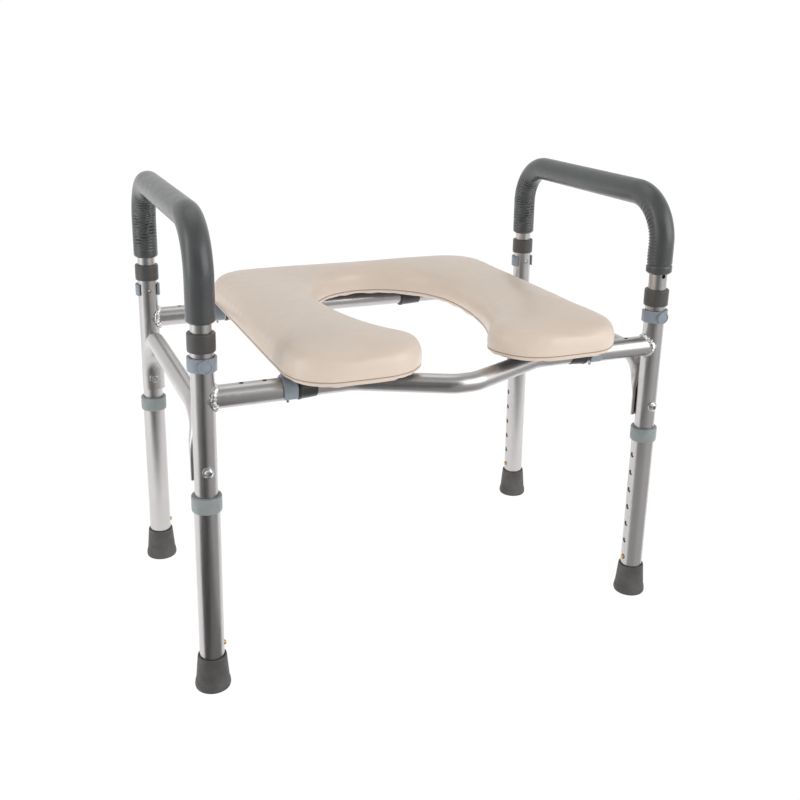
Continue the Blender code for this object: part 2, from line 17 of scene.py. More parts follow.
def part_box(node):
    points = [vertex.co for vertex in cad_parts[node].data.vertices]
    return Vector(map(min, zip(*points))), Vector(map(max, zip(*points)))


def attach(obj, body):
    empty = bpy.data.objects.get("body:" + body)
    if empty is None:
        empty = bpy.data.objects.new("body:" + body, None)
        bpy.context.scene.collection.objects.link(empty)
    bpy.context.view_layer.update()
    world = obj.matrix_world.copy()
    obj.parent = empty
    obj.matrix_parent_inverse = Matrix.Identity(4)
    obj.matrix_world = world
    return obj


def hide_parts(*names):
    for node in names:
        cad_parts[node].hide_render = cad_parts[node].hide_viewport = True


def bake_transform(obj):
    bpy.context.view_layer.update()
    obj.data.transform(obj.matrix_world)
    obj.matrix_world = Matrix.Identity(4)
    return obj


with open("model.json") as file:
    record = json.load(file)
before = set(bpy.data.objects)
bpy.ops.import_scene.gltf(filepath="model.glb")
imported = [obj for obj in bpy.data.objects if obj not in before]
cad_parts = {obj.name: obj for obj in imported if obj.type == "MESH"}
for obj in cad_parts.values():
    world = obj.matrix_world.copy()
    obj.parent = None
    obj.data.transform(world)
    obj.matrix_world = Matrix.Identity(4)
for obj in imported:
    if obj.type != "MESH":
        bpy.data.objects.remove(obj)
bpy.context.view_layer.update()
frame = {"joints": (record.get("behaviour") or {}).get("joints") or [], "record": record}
JOINTS = {joint["name"]: joint for joint in frame["joints"]}
MOUNTS = {mount["name"]: mount for mount in frame["record"]["mounts"]}

SIDE_SIGN = {"left": -1, "right": 1}
END_SIGN = {"front": -1, "rear": 1}
QUARTER = math.pi / 2
X_AXIS = Vector((1, 0, 0))
Z_AXIS = Vector((0, 0, 1))

# Layout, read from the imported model
FRONT_FOOT = Vector(MOUNTS["front_right_foot"]["pos_m"])
REAR_FOOT = Vector(MOUNTS["rear_right_foot"]["pos_m"])
HALF_WIDTH = FRONT_FOOT.x
HALF_DEPTH = (REAR_FOOT.y - FRONT_FOOT.y) / 2
MIDDLE_Y = (REAR_FOOT.y + FRONT_FOOT.y) / 2
LEAN = math.asin(abs(JOINTS["right_armrest_slide"]["axis"][0]))
BAR_Z = JOINTS["seat_hinge"]["pos_m"][2]
HOLE_PITCH = JOINTS["right_width_slide"]["range_m"][1]

# Tubes
WALL = 0.0012
LEG_R = 0.0143
UPRIGHT_R = 0.0127
BAR_R = 0.0111
TUBE_SIDES = 56
TUBE_PITCH = 0.004
RIM = 0.0003
GAP = 0.0003
PIN_HOLE_R = 0.0027
BUTTON_HOLE_R = 0.0036
BOLT_HOLE_R = 0.0033
DRILL_REACH = 0.0200
SPRING_X = 0.0100
BUTTON_FOOT_X = 0.0107
LEG_HOLES = 7
STUB_HOLES = 3
ARM_HOLES_BELOW = 3
ARM_HOLES_ABOVE = 2
LEG_COLLAR_R = 0.0168
UPRIGHT_COLLAR_R = 0.0150
ARM_PIN_REACH = 0.0126
WIDTH_PIN_REACH = 0.0162

# Bends
ARM_BEND_R = 0.0560
RAIL_BEND_R = 0.0360
RAIL_FLAT_HALF = 0.0032
RAIL_FLAT_WIDE = 0.0160
BOW_START_X = 0.1182
BOW_FLAT_X = 0.0124
BOW_DROP = 0.0020
BOW_BEND_R = 0.0450

# Grips
GRIP_R = 0.0154
RIGHT_FRONT_GRIP_RISE = 0.0100
WRINKLE_PITCH = 0.0042
WRINKLE_DEPTH = 0.0020

# Seat pad, seen from above in the frame midway between the legs
FRONT_CORNER_R = 0.0520
REAR_CORNER_R = 0.0580
OPENING_HALF_WIDTH = 0.0955
OPENING_CENTRE_Y = 0.0130
OPENING_REAR_REACH = 0.1120
OPENING_FRONT_REACH = 0.2060
NARROWEST_Y = -0.1720
LOBE_CORNER_R = 0.0600
SEAM_RISE = 0.0038
PAD_SHRINK = 0.0010
UNDERSIDE_RISE = 0.0012
LIP_DROP = 0.0045
PAD_SIDE = 0.0055
PAD_ROUNDING = 0.0235
PAD_FULLNESS = 3.0
ARC_STEPS = 14

# Camera
CAMERA_AT = (-0.4750, -1.1325 + MIDDLE_Y, 0.7161)
CAMERA_YAW = 0.40989
CAMERA_PITCH = -0.36482
CAMERA_ROLL = 0.01978
CAMERA_LENS = 43.95
CAMERA_SHIFT = (-0.0044, 0.0119)


# --- mesh helpers


def shift(x, y, z):
    return Matrix.Translation((x, y, z))


def rotation(angle, axis):
    return Matrix.Rotation(angle, 4, axis)


def linked(name, data):
    """A new object in the scene."""
    obj = bpy.data.objects.new(name, data)
    bpy.context.collection.objects.link(obj)
    return obj


def circle(sides):
    """Cosine and sine of evenly spaced angles."""
    angles = [2 * math.pi * k / sides for k in range(sides)]
    return [(math.cos(angle), math.sin(angle)) for angle in angles]


def ring(bm, place, radius, sides=TUBE_SIDES):
    """Points of a circle in a frame's XY plane."""
    return [bm.verts.new(place @ Vector((radius * c, radius * s, 0))) for c, s in circle(sides)]


def bridge(bm, first, second):
    count = len(first)
    for k in range(count):
        bm.faces.new((first[k], first[(k + 1) % count], second[(k + 1) % count], second[k]))


def skin(bm, rings, close=False):
    """Quads between neighbouring rings, and from the last back to the first if close."""
    for first, second in zip(rings, rings[1:], strict=False):
        bridge(bm, first, second)
    if close:
        bridge(bm, rings[-1], rings[0])


def station_frame(point, direction, normal):
    z = direction.normalized()
    x = (normal - normal.dot(z) * z).normalized()
    turn = Matrix((x, z.cross(x), z)).transposed().to_4x4()
    return Matrix.Translation(point) @ turn


def rounded(points, radius, steps):
    """Stations (point, direction) along straight runs joined by arcs."""
    points = [Vector(p) for p in points]
    stations = [(points[0], (points[1] - points[0]).normalized())]
    for before, corner, after in zip(points, points[1:], points[2:], strict=False):
        arrive = (corner - before).normalized()
        leave = (after - corner).normalized()
        turn = arrive.angle(leave)
        centre = corner + (leave - arrive).normalized() * radius / math.cos(turn / 2)
        axis = arrive.cross(leave).normalized()
        start = corner - arrive * radius * math.tan(turn / 2)
        for k in range(steps + 1):
            swing = Matrix.Rotation(turn * k / steps, 3, axis)
            stations.append((centre + swing @ (start - centre), swing @ arrive))
    stations.append((points[-1], (points[-1] - points[-2]).normalized()))
    return stations


def densify(stations, pitch):
    """The same route with stations no further apart than pitch."""
    dense = [stations[0]]
    for (point, direction), (target, heading) in zip(stations, stations[1:], strict=False):
        count = max(1, math.ceil((target - point).length / pitch))
        for k in range(1, count + 1):
            share = k / count
            dense.append((point.lerp(target, share), direction.lerp(heading, share).normalized()))
    return dense


def shell(bm, outer, inner):
    """The wall between an outer and an inner row of rings, closed at both ends."""
    skin(bm, outer)
    skin(bm, inner)
    bridge(bm, outer[0], inner[0])
    bridge(bm, outer[-1], inner[-1])


def pipe(name, stations, normal, radius):
    """Open-ended tube with softened rims."""
    bm = bmesh.new()
    (start, first_way), (end, last_way) = stations[0], stations[-1]
    inside = [(start + first_way * RIM, first_way), *stations[1:-1], (end - last_way * RIM, last_way)]
    outer = [ring(bm, station_frame(start, first_way, normal), radius - RIM)]
    for point, direction in densify(inside, TUBE_PITCH):
        outer.append(ring(bm, station_frame(point, direction, normal), radius))
    outer.append(ring(bm, station_frame(end, last_way, normal), radius - RIM))
    inner = [ring(bm, station_frame(point, way, normal), radius - WALL) for point, way in stations]
    shell(bm, outer, inner)
    return finish_mesh(bm, name)


def straight(start, end):
    """Stations of a straight run."""
    start, end = Vector(start), Vector(end)
    way = (end - start).normalized()
    return [(start, way), (end, way)]


def rod(bm, start, end, radius, sides):
    """A closed cylinder."""
    start, end = Vector(start), Vector(end)
    turn = (end - start).to_track_quat("Z", "Y").to_matrix().to_4x4()
    low = ring(bm, Matrix.Translation(start) @ turn, radius, sides=sides)
    high = ring(bm, Matrix.Translation(end) @ turn, radius, sides=sides)
    bridge(bm, low, high)
    bm.faces.new(list(reversed(low)))
    bm.faces.new(high)


def soft_corners(profile, radius, steps=4):
    """A closed (radius, height) profile whose corners are rounded, apart from those on the axis."""
    points = []
    count = len(profile)
    for k, (r, z) in enumerate(profile):
        corner = Vector((r, z))
        before, after = Vector(profile[k - 1]), Vector(profile[(k + 1) % count])
        if r <= 0:
            points.append((r, z))
            continue
        back, ahead = before - corner, after - corner
        reach = min(radius, back.length * 0.45, ahead.length * 0.45)
        start, end = corner + back.normalized() * reach, corner + ahead.normalized() * reach
        for n in range(steps + 1):
            t = n / steps
            at = start * (1 - t) ** 2 + corner * 2 * t * (1 - t) + end * t**2
            points.append((max(at.x, 0), at.y))
    return points


def turned(profile, sides=64, wave=None):
    """A body turned about Z from a closed profile. wave(angle, r) may change the radius."""
    bm = bmesh.new()
    rings = []
    for r, z in profile:
        if r <= 1e-7:
            rings.append([bm.verts.new((0, 0, z))])
            continue
        loop = []
        for k in range(sides):
            angle = 2 * math.pi * k / sides
            reach = r + (wave(angle, r) if wave else 0)
            loop.append(bm.verts.new((reach * math.cos(angle), reach * math.sin(angle), z)))
        rings.append(loop)
    for first, second in zip(rings, rings[1:] + rings[:1], strict=True):
        if len(first) == 1 and len(second) == 1:
            continue
        for k in range(sides):
            a, b = first[k % len(first)], first[(k + 1) % len(first)]
            c, d = second[(k + 1) % len(second)], second[k % len(second)]
            corners = [a, b, c, d]
            bm.faces.new([v for n, v in enumerate(corners) if v not in corners[:n]])
    return bm


def finish_mesh(bm, name, sharp_deg=35):
    """A smooth-shaded mesh from a bmesh, its faces pointing out."""
    bmesh.ops.remove_doubles(bm, verts=bm.verts, dist=1e-7)
    bmesh.ops.recalc_face_normals(bm, faces=bm.faces)
    mesh = bpy.data.meshes.new(name)
    bm.to_mesh(mesh)
    bm.free()
    mesh.shade_smooth()
    mesh.set_sharp_from_angle(angle=math.radians(sharp_deg))
    return mesh


def applied(obj):
    """The object's mesh with its modifiers in it."""
    bpy.context.view_layer.update()
    graph = bpy.context.evaluated_depsgraph_get()
    mesh = bpy.data.meshes.new_from_object(obj.evaluated_get(graph))
    obj.modifiers.clear()
    obj.data = mesh
    return mesh


def combine(mesh, tool_bm, operation="DIFFERENCE", sharp_deg=35):
    """The mesh with a tool shape cut out of it or joined to it."""
    body, tool = linked("body", mesh), linked("tool", finish_mesh(tool_bm, "tool"))
    modifier = body.modifiers.new("combine", "BOOLEAN")
    modifier.operation = operation
    modifier.solver = "EXACT"
    modifier.object = tool
    result = applied(body)
    bpy.data.objects.remove(body)
    bpy.data.objects.remove(tool)
    result.name = mesh.name
    result.shade_smooth()
    result.set_sharp_from_angle(angle=math.radians(sharp_deg))
    return result


def drilled(mesh, holes, sides=28):
    """The mesh with round holes cut in it, each given as (start, end, radius)."""
    drills = bmesh.new()
    for start, end, radius in holes:
        rod(drills, start, end, radius, sides)
    return combine(mesh, drills)


def rounded_box(at, size, edge):
    bm = bmesh.new()
    bmesh.ops.create_cube(bm, size=1, matrix=Matrix.Translation(at) @ Matrix.Diagonal((*size, 1)))
    bmesh.ops.bevel(bm, geom=bm.edges, offset=edge, segments=3, affect="EDGES")
    return bm


def piece(name, mesh, look, body, place=None, node=None):
    """A finished piece that rides on its body and, where a node is named, is shown in its place."""
    material, slot = look
    obj = linked(name, mesh)
    if not mesh.materials:
        mesh.materials.append(material)
    obj.matrix_world = place or Matrix()
    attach(obj, body)
    if node:
        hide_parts(node)
    return obj


# --- places


def side_place(side):
    """A side frame's own frame: Z up along its leaning legs, origin midway between them on the floor."""
    sign = SIDE_SIGN[side]
    return shift(sign * HALF_WIDTH, MIDDLE_Y, 0) @ rotation(-sign * LEAN, "Y")


def leg_place(side, end):
    """A leg's own frame, turned so that +X points towards the middle of the chair."""
    inward = rotation(math.pi if side == "right" else 0, "Z")
    return side_place(side) @ shift(0, END_SIGN[end] * HALF_DEPTH, 0) @ inward


def on_post(side, end, node):
    """A point on an upright's axis, level with a node."""
    return side_place(side) @ shift(0, END_SIGN[end] * HALF_DEPTH, along_leg(node))


def bar_y(end):
    return MIDDLE_Y + END_SIGN[end] * HALF_DEPTH


def span(node, radius=0.0):
    """Lowest and highest point of a leaning node, measured along its leg."""
    low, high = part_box(node)
    slack = radius * math.sin(LEAN)
    return (low[2] + slack) / math.cos(LEAN), (high[2] - slack) / math.cos(LEAN)


def middle(node):
    """Centre of a node's box."""
    low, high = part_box(node)
    return (Vector(low) + Vector(high)) / 2


def along_leg(node):
    """Height of a node's middle, measured along its leg."""
    return middle(node).z / math.cos(LEAN)


# --- materials


class Paint:
    """A Principled material with its node tree at hand."""

    def __init__(self, name, colour, roughness, metallic=0.0):
        self.material = bpy.data.materials.new(name)
        self.material.use_nodes = True
        self.tree = self.material.node_tree
        self.shader = self.tree.nodes["Principled BSDF"]
        self.colour = colour
        self.set("Base Color", (*colour, 1))
        self.set("Roughness", roughness)
        self.set("Metallic", metallic)
        self.coords = self.tree.nodes.new("ShaderNodeTexCoord").outputs["Object"]
        self.bumps = None

    def set(self, socket, value):
        self.shader.inputs[socket].default_value = value

    def coat(self, weight, roughness):
        self.set("Coat Weight", weight)
        self.set("Coat Roughness", roughness)

    def glow(self, strength):
        self.set("Emission Color", (1, 1, 1, 1))
        self.set("Emission Strength", strength)

    def node(self, kind, source, socket, values):
        """A new node, one input fed by a source and others set."""
        node = self.tree.nodes.new(kind)
        for name, value in values.items():
            node.inputs[name].default_value = value
        self.tree.links.new(source, node.inputs[socket])
        return node

    def noise(self, scale, detail, stretch=(1, 1, 1)):
        """Noise in object coordinates, which are scaled per axis first."""
        mapping = self.node("ShaderNodeMapping", self.coords, "Vector", {"Scale": stretch})
        values = {"Scale": scale, "Detail": detail}
        return self.node("ShaderNodeTexNoise", mapping.outputs["Vector"], "Vector", values).outputs["Fac"]

    def cells(self, scale):
        return self.node("ShaderNodeTexVoronoi", self.coords, "Vector", {"Scale": scale}).outputs["Distance"]

    def spread(self, source, low, high, to_low, to_high):
        """Source remapped from low..high to to_low..to_high, clamped."""
        values = {"From Min": low, "From Max": high, "To Min": to_low, "To Max": to_high}
        return self.node("ShaderNodeMapRange", source, "Value", values).outputs["Result"]

    def vary_colour(self, source, other, low=0.3, high=0.7):
        """Base colour that drifts from the material's own to another along a source."""
        mix = self.tree.nodes.new("ShaderNodeMix")
        mix.data_type = "RGBA"
        mix.inputs["A"].default_value = (*self.colour, 1)
        mix.inputs["B"].default_value = (*other, 1)
        self.tree.links.new(self.spread(source, low, high, 0, 1), mix.inputs["Factor"])
        self.tree.links.new(mix.outputs["Result"], self.shader.inputs["Base Color"])

    def vary_roughness(self, source, low, high):
        self.tree.links.new(self.spread(source, 0.3, 0.7, low, high), self.shader.inputs["Roughness"])

    def bump(self, source, strength, distance):
        """One more layer of bumps on top of those before it."""
        node = self.node("ShaderNodeBump", source, "Height", {"Strength": strength, "Distance": distance})
        if self.bumps is not None:
            self.tree.links.new(self.bumps, node.inputs["Normal"])
        self.bumps = node.outputs["Normal"]
        self.tree.links.new(self.bumps, self.shader.inputs["Normal"])


def anodised_aluminium():
    """Satin anodised tube: fine grain drawn out along the tube, and a faint sandy sparkle."""
    paint = Paint("anodised_aluminium", (0.468, 0.456, 0.450), 0.32, 1.0)
    grain = paint.noise(900, 2, (1, 1, 0.06))
    clouds = paint.noise(14, 3)
    paint.vary_colour(clouds, (0.440, 0.428, 0.423))
    paint.vary_roughness(paint.noise(220, 2, (1, 1, 0.2)), 0.28, 0.36)
    paint.bump(grain, 0.10, 0.0002)
    paint.bump(paint.noise(2600, 1), 0.12, 0.0001)
    return paint.material


def weld_metal():
    """Bare weld bead: bright, uneven, slightly sooty in patches."""
    paint = Paint("weld_metal", (0.78, 0.77, 0.76), 0.24, 1.0)
    paint.vary_colour(paint.noise(700, 3), (0.42, 0.40, 0.38), 0.5, 0.75)
    paint.vary_roughness(paint.noise(500, 2), 0.18, 0.42)
    paint.bump(paint.noise(900, 3), 0.5, 0.0004)
    return paint.material


def plated_steel():
    paint = Paint("plated_steel", (0.70, 0.70, 0.71), 0.14, 1.0)
    paint.vary_roughness(paint.noise(400, 2), 0.09, 0.22)
    paint.bump(paint.noise(1500, 2), 0.06, 0.0001)
    return paint.material


def spring_steel():
    paint = Paint("spring_steel", (0.45, 0.44, 0.42), 0.32, 1.0)
    paint.vary_roughness(paint.noise(300, 2, (1, 1, 0.2)), 0.25, 0.42)
    return paint.material


def brass():
    paint = Paint("brass", (0.55, 0.36, 0.12), 0.26, 1.0)
    paint.vary_colour(paint.noise(500, 3), (0.42, 0.28, 0.12), 0.5, 0.8)
    paint.vary_roughness(paint.noise(600, 2), 0.18, 0.38)
    return paint.material


def plastic_look(name, colour, roughness, shade=0.85):
    """Satin moulded plastic: spark-eroded texture and slightly uneven colour."""
    paint = Paint(name, colour, roughness)
    paint.vary_colour(paint.noise(60, 4), tuple(c * shade for c in colour), 0.35, 0.7)
    paint.vary_roughness(paint.noise(250, 2), roughness - 0.06, roughness + 0.08)
    paint.bump(paint.noise(1800, 2), 0.14, 0.0002)
    return paint.material, name


def rubber():
    """Matt rubber with a bloom of dust."""
    paint = Paint("tip_rubber", (0.048, 0.044, 0.042), 0.62)
    paint.vary_colour(paint.noise(35, 5), (0.082, 0.077, 0.074), 0.35, 0.75)
    paint.vary_roughness(paint.noise(180, 3), 0.55, 0.74)
    paint.bump(paint.noise(1300, 3), 0.22, 0.0003)
    return paint.material


def grip_cover():
    """Dark grey imitation leather: small pebbled grain, softly glossy."""
    paint = Paint("grip_cover", (0.031, 0.0335, 0.0345), 0.36)
    paint.vary_colour(paint.noise(25, 4), (0.042, 0.045, 0.046), 0.35, 0.7)
    paint.vary_roughness(paint.noise(120, 3), 0.33, 0.41)
    paint.bump(paint.cells(950), 0.22, 0.0003)
    paint.bump(paint.noise(260, 4), 0.08, 0.0006)
    paint.coat(0.20, 0.24)
    return paint.material


def seat_vinyl():
    """Warm beige vinyl: a fine leather grain, faint mottling, a soft coat of gloss."""
    paint = Paint("seat_vinyl", (0.530, 0.441, 0.367), 0.38)
    paint.vary_colour(paint.noise(9, 4), (0.511, 0.430, 0.361), 0.35, 0.7)
    paint.vary_roughness(paint.noise(70, 4), 0.36, 0.46)
    paint.bump(paint.cells(620), 0.10, 0.0003)
    paint.bump(paint.noise(160, 5), 0.08, 0.0006)
    paint.coat(0.12, 0.30)
    return paint.material


# Dark brown cord colour: the thread of the seam, and also the painted shadow in the seam's groove.
def seam_thread_and_shadow():
    paint = Paint("seam_thread_and_shadow", (0.30, 0.21, 0.145), 0.70)
    paint.bump(paint.noise(2500, 2), 0.4, 0.0003)
    return paint.material


# Each look is a material and the slot that it fills
ALUMINIUM = (anodised_aluminium(), "anodised_aluminium")
WELD = (weld_metal(), "anodised_aluminium")
STEEL = (plated_steel(), "plated_steel")
SPRING = (spring_steel(), "spring_steel")
BRASS = (brass(), "brass")
RUBBER = (rubber(), "tip_rubber")
GRIP = (grip_cover(), "grip_cover")
VINYL = (seat_vinyl(), "seat_vinyl")
# The seam cord's look: thread colour that also paints the shadow in the seam's groove.
SEAM_THREAD_AND_SHADOW = (seam_thread_and_shadow(), "seat_vinyl")
LEG_PLASTIC = plastic_look("leg_collar_plastic", (0.195, 0.213, 0.216), 0.40)
DARK_PLASTIC = plastic_look("upright_collar_plastic", (0.050, 0.046, 0.043), 0.42)
BLACK_PLASTIC = plastic_look("black_plastic", (0.018, 0.018, 0.019), 0.36, 1.5)
CLIP_PLASTIC = plastic_look("clip_plastic", (0.185, 0.215, 0.248), 0.36)
BASE_PLASTIC = plastic_look("seat_base_plastic", (0.120, 0.118, 0.115), 0.50)


# --- frame pieces


def leg_mesh():
    """Lower leg tube in its own frame, its button holes on the +X side."""
    low, high = span("front_right_lower_leg", LEG_R)
    mesh = pipe("lower_leg_tube", straight((0, 0, low), (0, 0, high)), X_AXIS, LEG_R)
    first = along_leg("front_right_snap_button")
    heights = [first + k * HOLE_PITCH for k in range(LEG_HOLES)]
    return drilled(mesh, [((LEG_R * 0.5, 0, z), (LEG_R * 1.5, 0, z), BUTTON_HOLE_R) for z in heights])


def upright_mesh():
    """Upright tube with holes for the snap button, the rail bolt and the armrest clip's pin."""
    low, high = span("front_right_upright", UPRIGHT_R)
    mesh = pipe("upright_tube", straight((0, 0, low), (0, 0, high)), X_AXIS, UPRIGHT_R)
    z = along_leg("front_right_snap_button")
    holes = [((UPRIGHT_R * 0.5, 0, z), (UPRIGHT_R * 1.5, 0, z), BUTTON_HOLE_R)]
    for node, radius in (("front_right_rail_bolt", BOLT_HOLE_R), ("front_right_arm_clip", PIN_HOLE_R)):
        z = along_leg(node)
        holes.append(((0, -DRILL_REACH, z), (0, DRILL_REACH, z), radius))
    return drilled(mesh, holes)


def collar_mesh(node, tube_r, bore_r, outer_r):
    """Plastic end collar with rolled edges and a raised inner lip."""
    low, high = span(node, outer_r)
    lip = 0.0020
    profile = (
        (outer_r - 0.0002, low),
        (outer_r, low + 0.004),
        (outer_r, high - 0.0015),
        (outer_r - 0.0008, high - 0.0004),
        (bore_r + 0.0012, high - 0.0004),
        (bore_r + 0.0010, high),
        (bore_r + GAP, high),
        (bore_r + GAP, high - lip),
        (tube_r + GAP, high - lip),
        (tube_r + GAP, low),
    )
    return finish_mesh(turned(soft_corners(profile, 0.0013)), node + "_shape", 50)


def tip_mesh():
    """Rubber ferrule: flared skirt, a thicker foot and a rolled top edge."""
    height = span("front_right_rubber_tip")[1]
    bore = LEG_R + GAP
    foot_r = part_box("front_right_rubber_tip")[1][0] - middle("front_right_rubber_tip").x
    profile = (
        (0, 0.0012),
        (foot_r - 0.0060, 0.0012),
        (foot_r - 0.0050, 0),
        (foot_r - 0.0008, 0),
        (foot_r, 0.0035),
        (foot_r - 0.0009, 0.0095),
        (foot_r - 0.0016, 0.0105),
        (LEG_R + 0.0026, height - 0.0030),
        (LEG_R + 0.0021, height - 0.0008),
        (bore, height - 0.0008),
        (bore, 0.0086),
        (0, 0.0086),
    )
    bm = turned(soft_corners(profile, 0.0012))
    slope = math.tan(LEAN)
    for vert in bm.verts:
        if vert.co.z < 0.003:
            vert.co.z += vert.co.x * slope
    return finish_mesh(bm, "rubber_tip_shape", 50)


def button_mesh():
    """Domed brass button."""
    radius, length, dome = 0.0031, 0.0064, 0.0024
    steps = 8
    profile = [(0, 0), (radius, 0)]
    for k in range(steps + 1):
        angle = QUARTER * k / steps
        profile.append((radius * math.cos(angle), length - dome + dome * math.sin(angle)))
    return finish_mesh(turned(profile, 32), "button_shape", 50)


def spring_mesh():
    """Leaf spring folded over at the top, its two legs against the inside of the upright."""
    low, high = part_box("front_right_snap_spring")
    button_z = along_leg("front_right_snap_button")
    half_wide, half_thick = (high[1] - low[1]) / 2, 0.00035
    foot, knee, tip = button_z - 0.006, button_z + 0.006, button_z + 0.0436
    corners = [(SPRING_X, 0, foot), (SPRING_X, 0, knee), (0, 0, tip)]
    corners += [(-SPRING_X, 0, knee), (-SPRING_X, 0, foot)]
    edge = half_thick * 0.6
    section = []
    for across, thick in ((1, 1), (-1, 1), (-1, -1), (1, -1)):
        near = (across * half_wide, thick * (half_thick - edge))
        far = (across * (half_wide - edge), thick * half_thick)
        section += [near, far] if across * thick > 0 else [far, near]
    bm = bmesh.new()
    rings = []
    for point, direction in densify(rounded(corners, 0.003, 10), 0.0015):
        place = station_frame(point, direction, Vector((0, 1, 0)))
        rings.append([bm.verts.new(place @ Vector((x, y, 0))) for x, y in section])
    skin(bm, rings)
    bm.faces.new(list(reversed(rings[0])))
    bm.faces.new(rings[-1])
    return finish_mesh(bm, "snap_spring_shape", 40)


def hexagon(angle, flat_r):
    """Radius of a hexagon with this flat-to-centre distance, at an angle."""
    part = (angle % (math.pi / 3)) - math.pi / 6
    return flat_r / math.cos(part)


def bolt_meshes():
    """Washers, socket-headed screw and lock nut of a rail bolt, along +Y from the front."""
    low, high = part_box("front_right_rail_bolt")
    head_at = low[1] - bar_y("front")
    nut_end = high[1] - bar_y("front")
    wall = UPRIGHT_R + GAP
    back = nut_end - 0.0056
    washer = bmesh.new()
    for at, way in ((-wall, -1), (back, 1)):
        profile = ((0.0029, 0), (0.0066, 0), (0.0066, 0.0010), (0.0029, 0.0010))
        bm = turned(soft_corners(profile, 0.0003, 3))
        bm.transform(shift(0, at, 0) @ rotation(-way * QUARTER, "X"))
        mesh = bpy.data.meshes.new("washer")
        bm.to_mesh(mesh)
        bm.free()
        washer.from_mesh(mesh)
        bpy.data.meshes.remove(mesh)
    head_back = -wall - 0.0010
    head_r = 0.0050
    socket_r, socket_depth = 0.0027, 0.0032
    shank_r = 0.0028
    profile = (
        (0, head_at + socket_depth),
        (socket_r, head_at + socket_depth),
        (socket_r, head_at + 0.0001),
        (socket_r + 0.0006, head_at),
        (head_r - 0.0014, head_at + 0.0002),
        (head_r, head_at + 0.0016),
        (head_r, head_back),
        (shank_r, head_back),
        (shank_r, nut_end + 0.0002),
        (0, nut_end + 0.0002),
    )

    def socket(angle, r):
        return hexagon(angle, r * 0.92) - r if r == socket_r else 0

    screw = turned(profile, 48, socket)
    nut_start = back + 0.0010
    nut_r, top_r, thread_r = 0.0050, 0.0041, 0.0030
    profile = (
        (thread_r, nut_start),
        (nut_r, nut_start),
        (nut_r, nut_end - 0.0012),
        (top_r, nut_end - 0.0010),
        (top_r, nut_end - 0.0002),
        (thread_r, nut_end - 0.0002),
    )

    def flats(angle, r):
        return hexagon(angle, 0.0047) - r if r == nut_r else 0

    nut = turned(profile, 48, flats)
    for bm in (screw, nut):
        bm.transform(rotation(-QUARTER, "X"))
    rows = ((washer, "washer_shape"), (screw, "screw_shape"), (nut, "nut_shape"))
    return [finish_mesh(bm, name, 30) for bm, name in rows]


def stub_mesh():
    """Cross stub, +X towards the chair's middle, coped round the upright, with holes on top and below."""
    axis_x = HALF_WIDTH - math.tan(LEAN) * BAR_Z
    length = axis_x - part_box("front_right_cross_stub")[0][0]
    mesh = pipe("cross_stub_tube", straight((0, 0, 0), (length, 0, 0)), Z_AXIS, UPRIGHT_R)
    lean = Vector((math.sin(-LEAN), 0, math.cos(LEAN)))
    mesh = drilled(mesh, [(lean * -0.04, lean * 0.04, UPRIGHT_R - 0.0005)], TUBE_SIDES)
    pin_x = axis_x - middle("front_right_width_clip").x
    row = [pin_x - k * HOLE_PITCH for k in range(STUB_HOLES)]
    return drilled(mesh, [((x, 0, -DRILL_REACH), (x, 0, DRILL_REACH), PIN_HOLE_R) for x in row])


def weld_mesh():
    """Fillet weld round the stub's foot: overlapping scales, +X towards the middle of the chair."""
    scales, steps, sides = 19, 10, 16
    bm = bmesh.new()
    rings = []
    count = scales * steps

    def centre(k):
        angle = 2 * math.pi * k / count
        wobble = noise.noise(Vector((math.cos(angle) * 3, math.sin(angle) * 3, 0.7))) * 0.0007
        reach = UPRIGHT_R * (0.60 + 0.40 * abs(math.sin(angle)) ** 1.4) + 0.0004 + wobble
        path_r = UPRIGHT_R * 0.955
        return Vector((reach, path_r * math.cos(angle), path_r * math.sin(angle)))

    for k in range(count):
        angle = 2 * math.pi * k / count
        along = (centre(k + 1) - centre(k - 1)).normalized()
        outward = Vector((0.5, math.cos(angle), math.sin(angle)))
        saw = (k % steps) / steps
        scale_size = 0.93 + 0.12 * noise.noise(Vector((k // steps * 1.7, 4.2, 0)))
        size = 0.0040 * scale_size * (1 - 0.36 * saw**1.6)
        place = station_frame(centre(k), along, outward)
        section = [Vector((size * 0.86 * c, size * 1.12 * s, -0.0007 * c)) for c, s in circle(sides)]
        rings.append([bm.verts.new(place @ at) for at in section])
    skin(bm, rings, close=True)
    return finish_mesh(bm, "weld_shape", 45)


def sleeve_mesh():
    """Tapered bushing, +Z towards the middle of the chair, with a rim that butts on the stub."""
    low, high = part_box("front_right_stub_sleeve")
    length = high[0] - low[0]
    profile = (
        (0.0135, 0),
        (0.0137, 0.0030),
        (0.0130, 0.0042),
        (0.0120, length - 0.0015),
        (0.0117, length),
        (BAR_R + GAP, length),
        (BAR_R + GAP, 0),
    )
    return finish_mesh(turned(soft_corners(profile, 0.0007)), "sleeve_shape", 50)


